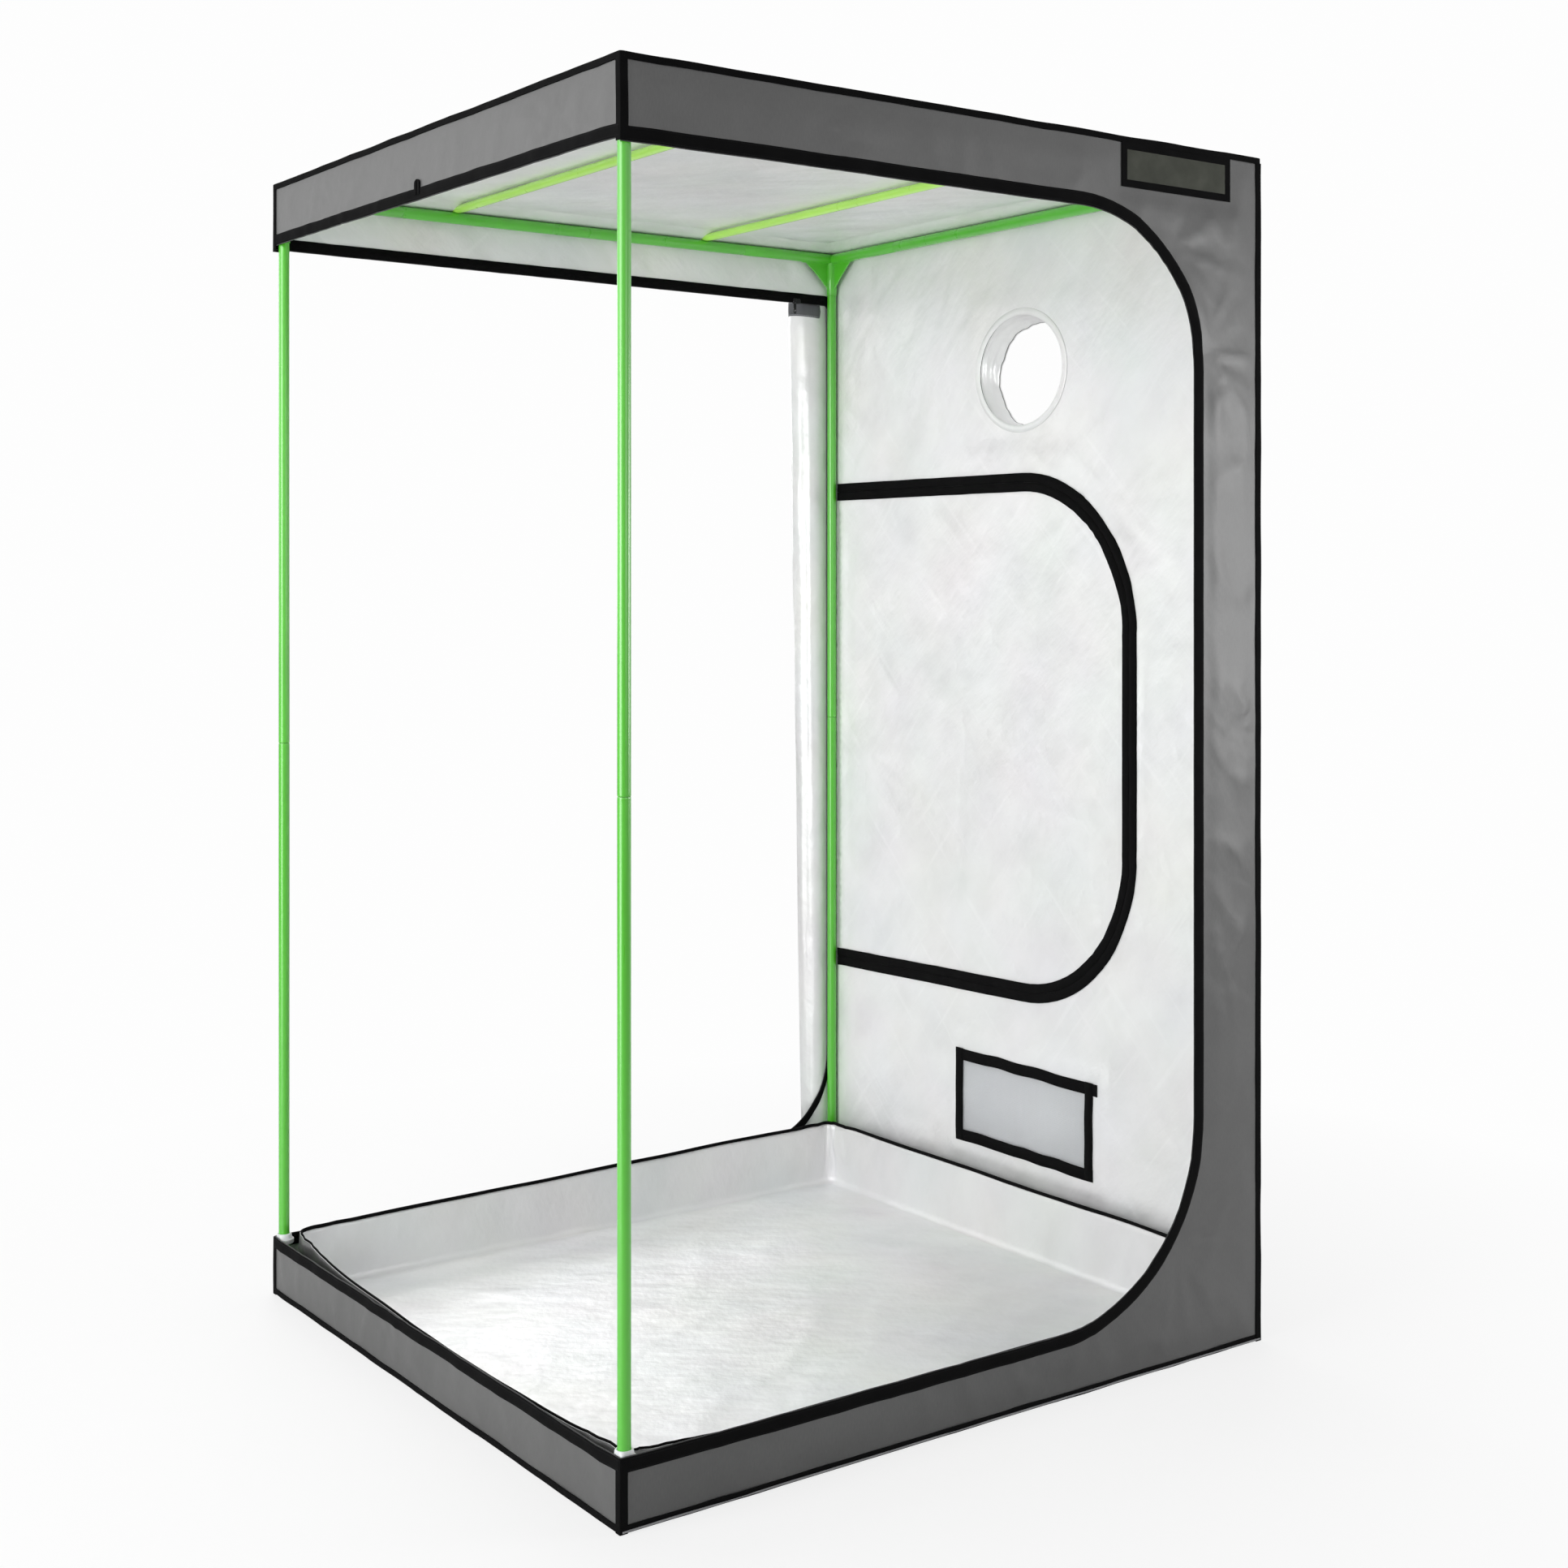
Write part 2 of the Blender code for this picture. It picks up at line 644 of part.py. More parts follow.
def vent_window(grow):
    """The clear window inside the vent frame's borders, grown on all sides."""
    half = VENT_WIDTH / 2 - VENT_BORDER_SIDE + grow
    low = VENT_BASE + VENT_BORDER_TOP - grow
    high = VENT_TOP - VENT_BORDER_TOP + grow
    return rectangle(VENT_Y - half, low, VENT_Y + half, high)


def add_right_wall():
    """The solid wall, with its half door, duct port and vent cut out."""
    outline = rectangle(-INNER_HALF_DEPTH, 0, INNER_HALF_DEPTH, ROOF_TOP)
    port = ellipse(PORT_HALF_WIDTH, PORT_HALF_HEIGHT, (0, PORT_Z), PORT_SIDES)
    holes = [half_door_path(HALF_DOOR_TAPE / 2), port, vent_window(VENT_HEM)]
    wall = flat("right_wall", [outline] + holes, FABRIC)
    wall.matrix_world = across_x(HALF_WIDTH - FABRIC)
    dress(wall, "lining")


def add_half_door():
    """The door panel and the two halves of its zip tape, one on the door and one on the wall."""
    half = HALF_DOOR_TAPE / 2
    wall_tape = shortened(half_door_path(half - FIT)) + shortened(half_door_path(ZIP_GAP / 2))[::-1]
    door_tape = shortened(half_door_path(-ZIP_GAP / 2)) + shortened(half_door_path(-half))[::-1]
    panel = shortened(half_door_path(-half - FIT))
    hinge = bpy.data.objects.new("half_door_hinge", None)
    PARTS.objects.link(hinge)
    hinge.location = (HALF_WIDTH, HINGE_Y, HALF_DOOR_BASE)
    for name, outline, kind in (
        ("half_door_wall_tape", wall_tape, "tape"),
        ("half_door_tape", door_tape, "tape"),
        ("half_door_panel", panel, "lining"),
    ):
        obj = flat(name, [outline], FABRIC)
        obj.matrix_world = across_x(HALF_WIDTH - FABRIC)
        dress(obj, kind)
        if name != "half_door_wall_tape":
            hang(obj, hinge)
    add_half_door_sliders(hinge)


def hang(obj, parent):
    """Parents a piece and leaves it where it is."""
    bpy.context.view_layer.update()
    obj.parent = parent
    obj.matrix_parent_inverse = parent.matrix_world.inverted()


def add_half_door_sliders(hinge):
    """A plate over the zip with a fin in its gap and a pull that hangs from it, one above the other."""
    middle = (HALF_DOOR_BASE + HALF_DOOR_TOP) / 2
    face, plate_top = OUTSIDE_X, OUTSIDE_X + SLIDER_PLATE
    reach = HALF_DOOR_SLIDER_GAP / 2
    for name, side in (("half_door_upper_slider", 1), ("half_door_lower_slider", -1)):
        near, far = middle + side * reach, middle + side * (reach + SLIDER_LENGTH)
        low, high = min(near, far), max(near, far)
        slider = box(name, (face, HALF_DOOR_EDGE - SLIDER_WIDTH / 2, low),
                     (plate_top, HALF_DOOR_EDGE + SLIDER_WIDTH / 2, high))
        fin = box(f"{name}_fin", (HALF_WIDTH - FABRIC, HALF_DOOR_EDGE - SLIDER_FIN / 2, low),
                  (face + SLIDER_PLATE / 2, HALF_DOOR_EDGE + SLIDER_FIN / 2, high), CUTTERS)
        join(slider, fin)
        pull_face = plate_top - PULL_THICKNESS / 2
        pull_far = far + side * (PULL_LENGTH - SLIDER_LENGTH)
        pull_low, pull_high = sorted((near + side * PULL_WIDTH / 2, pull_far))
        pull = box(f"{name}_pull", (pull_face, HALF_DOOR_EDGE - PULL_WIDTH / 2, pull_low),
                   (pull_face + PULL_THICKNESS, HALF_DOOR_EDGE + PULL_WIDTH / 2, pull_high), CUTTERS)
        join(slider, pull)
        dress(slider, "zinc")
        hang(slider, hinge)


def add_door_sliders():
    """The big door's two sliders, each clasping the free edge of the back zip tape beside the roll."""
    beside_roll = ROLL_X - ROLL_RADIUS - DOOR_SLIDER_FROM_ROLL
    beside_corner = BACK_EDGE - BACK_BOTTOM_CORNER - DOOR_SLIDER_FROM_CORNER
    inner = HALF_DEPTH - FABRIC - FIT
    for name, high_x, edge, side in (
        ("door_upper_slider", beside_roll, BACK_OPENING_TOP, 1),
        ("door_lower_slider", beside_corner, BOTTOM_BAND, -1),
    ):
        low_x = high_x - SLIDER_LENGTH
        gripped, free = edge + side * SLIDER_GRIP, edge - side * SLIDER_GRIP
        low, high = min(gripped, free), max(gripped, free)
        slider = box(name, (low_x, inner - SLIDER_PLATE, low), (high_x, OUTSIDE_Y + SLIDER_PLATE, high))
        slot_low, slot_high = sorted((edge - side * FIT, edge + side * (SLIDER_GRIP + OVERRUN)))
        slot = box(f"{name}_slot", (low_x - OVERRUN, inner, slot_low),
                   (high_x + OVERRUN, OUTSIDE_Y, slot_high), CUTTERS)
        cut(slider, slot)
        pull_face = OUTSIDE_Y + SLIDER_PLATE - PULL_THICKNESS / 2
        pull_low, pull_high = sorted((edge, free - side * (PULL_LENGTH - SLIDER_GRIP)))
        middle = (low_x + high_x) / 2
        pull = box(f"{name}_pull", (middle - PULL_WIDTH / 2, pull_face, pull_low),
                   (middle + PULL_WIDTH / 2, pull_face + PULL_THICKNESS, pull_high), CUTTERS)
        join(slider, pull)
        dress(slider, "zinc")


def sleeve_ring(x, grow, wave, droop):
    """One ring of the duct sleeve: the port's outline, grown, gathered into folds and let down."""
    points = []
    for i in range(PORT_SIDES):
        angle = math.tau * i / PORT_SIDES
        fold = grow + wave * math.cos(math.tau * 7 * i / PORT_SIDES)
        y = (PORT_HALF_WIDTH + fold) * math.cos(angle)
        z = PORT_Z - droop + (PORT_HALF_HEIGHT + fold) * math.sin(angle)
        points.append((x, y, z))
    return points


def add_duct_sleeve():
    """A soft tube on the outside of the duct port, with a sewn flange and a gathered mouth."""
    flange_face = OUTSIDE_X + FABRIC
    mouth = OUTSIDE_X + SLEEVE_LENGTH
    middle = (flange_face + mouth) / 2
    wave, droop = SLEEVE_GATHER, SLEEVE_DROOP
    rings = [
        sleeve_ring(OUTSIDE_X, 0, 0, 0),
        sleeve_ring(OUTSIDE_X, SLEEVE_FLANGE, 0, 0),
        sleeve_ring(flange_face, SLEEVE_FLANGE, 0, 0),
        sleeve_ring(flange_face, FABRIC, 0, 0),
        sleeve_ring(middle, FABRIC, wave / 2, droop / 2),
        sleeve_ring(mouth, FABRIC - wave, wave, droop),
        sleeve_ring(mouth, -wave, wave, droop),
        sleeve_ring(middle, 0, wave / 2, droop / 2),
    ]
    dress(loft("duct_sleeve", rings, True), "cloth")


def add_vent():
    """The low vent: a taped border inside, a net in the wall's hole and a flap outside."""
    frame = flat("vent_frame", [vent_rectangle(0), vent_window(0)], BINDING)
    frame.matrix_world = across_x(HALF_WIDTH - FABRIC - FIT - BINDING)
    dress(frame, "tape")
    net = flat("vent_mesh", [vent_window(VENT_HEM - FIT)], VENT_MESH)
    net.matrix_world = across_x(HALF_WIDTH - FABRIC)
    dress(net, "net")
    hinge_x = OUTSIDE_X + FABRIC
    half = VENT_WIDTH / 2 + FLAP_OVERLAP
    top = VENT_TOP + FLAP_OVERLAP
    flap = box("vent_flap", (OUTSIDE_X, VENT_Y - half, VENT_BASE - FLAP_OVERLAP),
               (hinge_x, VENT_Y + half, top))
    dress(flap, "cloth")
    hinge = bpy.data.objects.new("vent_flap_hinge", None)
    PARTS.objects.link(hinge)
    hinge.location = (hinge_x, VENT_Y, top)
    hang(flap, hinge)


def roll_ring(z):
    """One level of the rolled door: round, with soft upright folds, drawn in under the strap."""
    strap_middle = STRAP_TOP - STRAP_WIDTH / 2
    away = (z - strap_middle) / STRAP_WIDTH
    neck = ROLL_NECK * math.exp(-(away ** 4) / 4)
    sway = math.sin(math.pi * (z - ROLL_BASE) / (ROLL_TOP - ROLL_BASE))
    points = []
    for i in range(ROLL_SIDES):
        angle = math.tau * i / ROLL_SIDES
        folds = math.cos(3 * angle + 2 * sway) + math.cos(5 * angle - 3 * sway)
        facing = (1 + math.sin(angle)) / 2
        radius = ROLL_RADIUS - neck - ROLL_FOLD * (1 + folds / 2) * facing * (1 - neck / ROLL_NECK)
        points.append((ROLL_X + radius * math.cos(angle), ROLL_Y + radius * math.sin(angle), z))
    return points


def add_door_roll():
    """The rolled door, its last lap sewn flat to the back margin, and the strap round its top."""
    steps = [ROLL_BASE + (STRAP_TOP - STRAP_WIDTH * 2 - ROLL_BASE) * i / ROLL_LEVELS
             for i in range(ROLL_LEVELS + 1)]
    upper = [STRAP_TOP - STRAP_WIDTH * 1.5, STRAP_TOP - STRAP_WIDTH, STRAP_TOP, ROLL_TOP]
    roll = loft("door_roll", [roll_ring(z) for z in steps + upper], False)
    tail_top = STRAP_TOP - STRAP_WIDTH * 2
    tail = box("door_roll_tail", (ROLL_X, OUTSIDE_Y, ROLL_BASE + OVERRUN),
               (ROLL_X + ROLL_TAIL, OUTSIDE_Y + FABRIC, tail_top), CUTTERS)
    join(roll, tail)
    dress(roll, "lining")
    radius = ROLL_RADIUS - ROLL_NECK + FIT + ROLL_FOLD / 2
    low = STRAP_TOP - STRAP_WIDTH
    strap = add_object("door_roll_strap", turned_mesh("door_roll_strap", [
        (radius + STRAP_THICKNESS, STRAP_TOP), (radius + STRAP_THICKNESS, low),
        (radius, low), (radius, STRAP_TOP),
    ]))
    strap.location = (ROLL_X, ROLL_Y, 0)
    dress(strap, "strap")


def add_label_and_loop():
    """The bare label patch on the front band, and a webbing loop over the left zip."""
    right = HALF_WIDTH - LABEL_FROM_RIGHT
    top = BINDING_LOW - FIT
    label = box("label_patch", (right - LABEL_LENGTH, -OUTSIDE_Y - BINDING, top - LABEL_HEIGHT),
                (right, -OUTSIDE_Y, top))
    dress(label, "label")
    low = SHELL_HEIGHT - LOOP_BASE_BELOW_TOP
    half = LOOP_WIDTH / 2
    loop = box("band_loop", (-OUTSIDE_X - LOOP_THICKNESS, LOOP_Y - half, low),
               (-OUTSIDE_X, LOOP_Y + half, low + LOOP_HEIGHT))
    reach = half - LOOP_STRAND
    gap = box("band_loop_gap", (-OUTSIDE_X - LOOP_THICKNESS - OVERRUN, LOOP_Y - reach, low - OVERRUN),
              (-OUTSIDE_X + OVERRUN, LOOP_Y + reach, low + LOOP_HEIGHT - LOOP_STRAND), CUTTERS)
    cut(loop, gap)
    dress(loop, "tape")


def corner_post(name, corner, low, high, collection=None):
    """A square post that stands over a shell corner, before its inside is cut away."""
    side_x, side_y = CORNER_SHARES[corner]
    far_x, far_y = side_x * (OUTSIDE_X + BINDING), side_y * (OUTSIDE_Y + BINDING)
    near_x = far_x - side_x * CORNER_BINDING_WIDTH
    near_y = far_y - side_y * CORNER_BINDING_WIDTH
    return box(name, (min(far_x, near_x), min(far_y, near_y), low),
               (max(far_x, near_x), max(far_y, near_y), high), collection)


def add_edge_bindings():
    """Black binding round the roof seam and the floor seam, and down the four upright seams."""
    reach_x, reach_y = OUTSIDE_X + BINDING, OUTSIDE_Y + BINDING
    body = box("binding_body", (-OUTSIDE_X, -OUTSIDE_Y, -OVERRUN),
               (OUTSIDE_X, OUTSIDE_Y, ROOF_TOP + FIT), CUTTERS)
    lip_x, lip_y = OUTSIDE_X - BINDING_WIDTH, OUTSIDE_Y - BINDING_WIDTH
    hole = box("binding_hole", (-lip_x, -lip_y, BINDING_LOW - OVERRUN),
               (lip_x, lip_y, SHELL_HEIGHT + OVERRUN), CUTTERS)
    top = box("top_edge_binding", (-reach_x, -reach_y, BINDING_LOW), (reach_x, reach_y, SHELL_HEIGHT))
    overlap = BINDING_LOW + BINDING
    for corner, low in (("front_left", FRONT_OPENING_TOP), ("back_left", BACK_OPENING_TOP)):
        join(top, corner_post(f"{corner}_top_post", corner, low, overlap, CUTTERS))
    cut(top, body)
    cut(top, hole)
    dress(top, "tape")
    bottom = box("bottom_edge_binding", (-reach_x, -reach_y, FIT), (reach_x, reach_y, BOTTOM_BINDING_WIDTH))
    overlap = BOTTOM_BINDING_WIDTH - BINDING
    for corner, high in (
        ("front_left", BOTTOM_BAND), ("back_left", BOTTOM_BAND),
        ("front_right", BINDING_LOW - FIT), ("back_right", BINDING_LOW - FIT),
    ):
        join(bottom, corner_post(f"{corner}_bottom_post", corner, overlap, high, CUTTERS))
    cut(bottom, body)
    dress(bottom, "tape")


def tray_outline(inset):
    """The tray's outline, inset: rounded corners with evenly spaced points along the sides."""
    corners = rounded_rectangle(TRAY_HALF_WIDTH - inset, TRAY_HALF_DEPTH - inset,
                                TRAY_CORNER - inset, TRAY_CORNER_STEPS)
    quarter = TRAY_CORNER_STEPS + 1
    points = []
    for i, point in enumerate(corners):
        points.append(Vector(point))
        if i % quarter == TRAY_CORNER_STEPS:
            start, end = Vector(point), Vector(corners[(i + 1) % len(corners)])
            points += [start.lerp(end, j / TRAY_SIDE_STEPS) for j in range(1, TRAY_SIDE_STEPS)]
    return points


def rim_height(place):
    """How high the soft tray wall stands: dipped along the front, rising to the right and the back."""
    right = (place.x / TRAY_HALF_WIDTH + 1) / 2
    back = (place.y / TRAY_HALF_DEPTH + 1) / 2
    into_dip = max(0, 1 - right / RIM_DIP_START_SHARE)
    out_of_dip = max(0, (right - RIM_DIP_END_SHARE) / (1 - RIM_DIP_END_SHARE))
    front = RIM_FRONT_LOW + into_dip * (RIM_FRONT_LEFT - RIM_FRONT_LOW)
    front += out_of_dip * (RIM_FRONT_RIGHT - RIM_FRONT_LOW)
    rear = RIM_BACK_LEFT + right * (RIM_BACK_RIGHT - RIM_BACK_LEFT)
    return front + back * (rear - front)


def tray_ring(inset, height):
    """One ring of the tray: its outline, inset, at the height that each of its places is given."""
    return [(*point, height(place)) for point, place in zip(tray_outline(inset), tray_outline(0))]


def add_floor_tray():
    """The lift-out tray that covers the floor, with the binding on its soft rim."""
    tray = loft("floor_tray", [
        tray_ring(0, lambda place: TRAY_LOW),
        tray_ring(0, rim_height),
        tray_ring(FABRIC, rim_height),
        tray_ring(FABRIC, lambda place: TRAY_LOW + FABRIC),
    ], False)
    dress(tray, "lining")
    rim = loft("tray_edge_binding", [
        tray_ring(0, lambda place: rim_height(place) + FIT),
        tray_ring(0, lambda place: rim_height(place) + FIT + TRAY_EDGE),
        tray_ring(TRAY_EDGE, lambda place: rim_height(place) + FIT + TRAY_EDGE),
        tray_ring(TRAY_EDGE, lambda place: rim_height(place) + FIT),
    ], True)
    dress(rim, "tape")
    hang(rim, tray)


add_connectors()
add_poles()
add_frame_bars()
add_crossbars()
add_collars()
add_roof_and_floor()
add_front_and_back()
add_left_bands()
add_right_wall()
add_half_door()
add_door_sliders()
add_duct_sleeve()
add_vent()
add_door_roll()
add_label_and_loop()
add_edge_bindings()
add_floor_tray()
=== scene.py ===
"""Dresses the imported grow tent: coated tubes, two-sided cloth with its folds, tapes and zips, the
rolled door, the duct sleeve, the vent and the tray. Metres, in the frame of the CAD."""

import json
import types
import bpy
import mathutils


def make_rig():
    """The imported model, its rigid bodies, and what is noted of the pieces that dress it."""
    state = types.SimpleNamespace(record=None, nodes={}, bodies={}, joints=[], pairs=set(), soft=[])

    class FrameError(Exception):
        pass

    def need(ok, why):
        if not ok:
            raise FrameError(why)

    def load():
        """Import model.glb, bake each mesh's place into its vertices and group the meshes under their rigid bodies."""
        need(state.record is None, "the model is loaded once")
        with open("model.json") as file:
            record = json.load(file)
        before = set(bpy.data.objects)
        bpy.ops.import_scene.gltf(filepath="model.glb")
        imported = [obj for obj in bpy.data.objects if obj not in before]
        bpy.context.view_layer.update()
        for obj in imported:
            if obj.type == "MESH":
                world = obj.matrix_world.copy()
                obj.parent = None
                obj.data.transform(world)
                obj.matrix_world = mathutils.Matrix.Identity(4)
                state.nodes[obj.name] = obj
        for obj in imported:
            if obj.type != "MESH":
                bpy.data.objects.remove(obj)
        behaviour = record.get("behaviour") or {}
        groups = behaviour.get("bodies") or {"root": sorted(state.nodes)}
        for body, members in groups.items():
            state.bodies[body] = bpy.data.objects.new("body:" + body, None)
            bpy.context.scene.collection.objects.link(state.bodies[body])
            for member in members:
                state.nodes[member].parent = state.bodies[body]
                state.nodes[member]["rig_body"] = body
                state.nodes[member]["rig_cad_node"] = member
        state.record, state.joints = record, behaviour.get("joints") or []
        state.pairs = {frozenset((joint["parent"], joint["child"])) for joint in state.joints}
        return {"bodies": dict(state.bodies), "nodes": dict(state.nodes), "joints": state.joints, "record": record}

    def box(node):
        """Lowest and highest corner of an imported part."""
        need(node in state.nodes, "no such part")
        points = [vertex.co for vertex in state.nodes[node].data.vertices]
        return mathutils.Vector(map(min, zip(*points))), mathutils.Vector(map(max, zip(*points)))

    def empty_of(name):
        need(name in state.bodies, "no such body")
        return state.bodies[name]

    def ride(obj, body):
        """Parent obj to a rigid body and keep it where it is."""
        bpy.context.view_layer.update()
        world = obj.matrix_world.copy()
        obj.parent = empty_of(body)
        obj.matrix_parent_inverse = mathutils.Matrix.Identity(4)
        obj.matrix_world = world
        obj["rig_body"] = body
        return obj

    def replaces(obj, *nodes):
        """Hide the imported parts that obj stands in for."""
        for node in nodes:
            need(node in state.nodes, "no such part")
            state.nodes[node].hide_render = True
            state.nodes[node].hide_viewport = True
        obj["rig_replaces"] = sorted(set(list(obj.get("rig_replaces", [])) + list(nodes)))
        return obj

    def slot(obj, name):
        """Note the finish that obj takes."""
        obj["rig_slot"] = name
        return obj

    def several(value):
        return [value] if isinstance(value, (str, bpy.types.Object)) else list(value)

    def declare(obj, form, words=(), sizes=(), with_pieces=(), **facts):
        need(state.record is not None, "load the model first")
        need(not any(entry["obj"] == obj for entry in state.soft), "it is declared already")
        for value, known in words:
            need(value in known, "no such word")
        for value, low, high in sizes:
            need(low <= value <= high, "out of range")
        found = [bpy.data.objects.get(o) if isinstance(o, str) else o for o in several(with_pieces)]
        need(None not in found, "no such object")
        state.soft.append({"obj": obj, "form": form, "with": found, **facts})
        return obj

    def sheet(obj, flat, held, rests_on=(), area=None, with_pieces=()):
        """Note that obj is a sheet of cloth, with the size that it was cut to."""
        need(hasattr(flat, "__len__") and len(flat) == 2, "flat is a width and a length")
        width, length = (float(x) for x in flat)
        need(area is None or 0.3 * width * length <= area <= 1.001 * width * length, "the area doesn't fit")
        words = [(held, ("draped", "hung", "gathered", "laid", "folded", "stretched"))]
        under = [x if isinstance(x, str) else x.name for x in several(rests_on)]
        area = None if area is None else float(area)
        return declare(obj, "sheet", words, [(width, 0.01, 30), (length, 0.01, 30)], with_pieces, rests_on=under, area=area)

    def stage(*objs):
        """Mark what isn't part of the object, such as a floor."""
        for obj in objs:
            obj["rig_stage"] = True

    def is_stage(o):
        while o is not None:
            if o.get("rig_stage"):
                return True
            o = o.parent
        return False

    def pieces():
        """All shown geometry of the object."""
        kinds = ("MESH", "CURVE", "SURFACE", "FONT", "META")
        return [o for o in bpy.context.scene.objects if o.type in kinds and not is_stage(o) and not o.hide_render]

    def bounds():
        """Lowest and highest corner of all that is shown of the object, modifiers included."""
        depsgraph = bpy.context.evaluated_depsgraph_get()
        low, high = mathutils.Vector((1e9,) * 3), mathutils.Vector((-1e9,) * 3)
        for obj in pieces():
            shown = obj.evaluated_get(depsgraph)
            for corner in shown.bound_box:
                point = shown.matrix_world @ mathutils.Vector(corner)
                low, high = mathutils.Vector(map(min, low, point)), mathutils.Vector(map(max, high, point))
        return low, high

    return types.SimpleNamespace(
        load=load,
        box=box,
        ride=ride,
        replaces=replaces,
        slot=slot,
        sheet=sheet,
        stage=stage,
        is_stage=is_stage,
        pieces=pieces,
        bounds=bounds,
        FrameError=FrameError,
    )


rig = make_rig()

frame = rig.load()

import json
import math

import bpy
import numpy as np
from mathutils import Matrix, Vector, geometry, noise

CAD_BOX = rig.bounds()

X, Y, Z = Vector((1, 0, 0)), Vector((0, 1, 0)), Vector((0, 0, 1))

# The photograph's camera
CAMERA_PLACE, CAMERA_TURN = (-2.0845, -3.1567, 1.2856), 37.1324
PHOTO_SIDE, FOCAL_PIXELS, CENTRE_PIXELS = 1932, 2660.16, (1097.48, 715.4)
SENSOR, CAMERA_FAR = 36.0, 100


def low_high(node_name):
    low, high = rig.box(node_name)
    return Vector(low), Vector(high)


def middle(node_name):
    low, high = low_high(node_name)
    return (low + high) / 2


# Places that come from the frame
HALF = low_high("right_wall")[1].x
CLOTH = HALF - low_high("right_wall")[0].x
ROOF = low_high("roof_panel")[1].z
TOP = low_high("top_edge_binding")[1].z
INNER = low_high("roof_panel")[1].x
OUTSIDE = low_high("vent_flap")[0].x
FIT = OUTSIDE - HALF
POLE = middle("back_right_pole_lower").x
POLE_RADIUS = POLE - low_high("back_right_pole_lower")[0].x
TOP_BAR, BOTTOM_BAR = middle("front_top_bar").z, middle("front_bottom_bar").z
BAR_RADIUS = TOP_BAR - low_high("front_top_bar")[0].z
BAR_END = low_high("front_top_bar")[1].x
POLE_LOW = low_high("back_right_pole_lower")[0].z
POLE_JOINT, POLE_HIGH = (corner.z for corner in low_high("back_right_pole_upper"))
DOOR_LOW, DOOR_HIGH = low_high("half_door_panel")
HINGE = DOOR_HIGH.y + FIT
HALF_DOOR_LOW, HALF_DOOR_HIGH = low_high("half_door_wall_tape")
VENT_LOW, VENT_HIGH = low_high("vent_frame")
SLEEVE_LOW, SLEEVE_HIGH = low_high("duct_sleeve")

# Widths and radii of the cloth work, as in the part's source
DOOR_TAPE, LEFT_TAPE, HALF_TAPE, UNDER_TAPE = 0.020, 0.018, 0.018, 0.006
TAPE_PROUD, TAPE_INSIDE = 0.0010, 0.0015
FRONT_CORNERS, BACK_CORNERS, HALF_DOOR_CORNERS = (0.25, 0.30), (0.010, 0.17), (0.30, 0.30)
BACK_UPRIGHT_SHARE = 0.3
BINDING, TOP_BINDING, POST_BINDING, FOOT_BINDING = 0.0015, 0.009, 0.013, 0.0088
PORT_FLANGE, PORT_HALF_TALL = 0.012, 0.107
PORT_HALF_WIDE = (SLEEVE_HIGH.y - SLEEVE_LOW.y) / 2 - PORT_FLANGE
PORT_HEIGHT = SLEEVE_HIGH.z - PORT_FLANGE - PORT_HALF_TALL
VENT_SIDE, VENT_TOP_TAPE, VENT_HEM = 0.021, 0.022, 0.008

# Share of the cloth that its mesh is thick, distances between points, the hem over the ground
CLOTH_SHARE, PANEL_STEP, FINE_STEP, FLOOR_STEP, HEM_UP = 0.7, 0.016, 0.010, 0.05, 0.0006

# How far the photographed edges rise along their walls: places and rises
LEFT_RISE = 0.005
BACK_LEAN = ((-0.526, 0.005), (0.478, -0.003))
DOOR_LEAN = ((0.0, 0.0), (0.6, -0.014))
LEVEL = ((0.0, 0.0),)

CORNERS = {"front_left": (-1, -1), "front_right": (1, -1), "back_right": (1, 1), "back_left": (-1, 1)}
# Each wall: the axes of its plane, the way out, and a point of its outer face
WALLS = {
    "front": (X, Z, -Y, -HALF * Y),
    "back": (X, Z, Y, HALF * Y),
    "left": (Y, Z, -X, -HALF * X),
    "right": (Y, Z, X, HALF * X),
    "roof": (X, Y, Z, ROOF * Z),
    "floor": (X, Y, -Z, 0 * Z),
}
SEEDS = {"front": 3.7, "back": 11.2, "left": 19.9, "right": 27.4, "roof": 36.1, "floor": 44.6}


# Materials. A wave texture of scale 1 repeats after WAVE_UNIT.

WAVE_UNIT = math.tau / 20
WEAVE_PITCH, WEAVE_DEPTH, RIB_PITCH, RIB_DEPTH, COIL_PITCH = 0.0011, 0.00012, 0.0013, 0.00018, 0.0016
STITCH_LENGTH, STITCH_SHARE, STITCH_INSET, STITCH_HALF, STITCH_PALER = 0.0042, 0.72, 0.0024, 0.00045, 3.2
# The coil's two colours are painted shade between its turns and a painted highlight on their crests
COIL_SHADE_BETWEEN_TURNS, COIL_HIGHLIGHT_ON_TURNS, BARE_METAL = (0.004, 0.004, 0.004), (0.03, 0.03, 0.032), (0.33, 0.33, 0.34)


def node(tree, kind, values=None, **settings):
    """Adds a shader node; values are sockets to link or numbers to set."""
    made = tree.nodes.new("ShaderNode" + kind)
    for key, value in settings.items():
        setattr(made, key, value)
    for key, value in (values or {}).items():
        if isinstance(value, bpy.types.NodeSocket):
            tree.links.new(value, made.inputs[key])
        else:
            made.inputs[key].default_value = value
    return made


def shade(colour, by):
    return tuple(min(1.0, part * by) for part in colour)


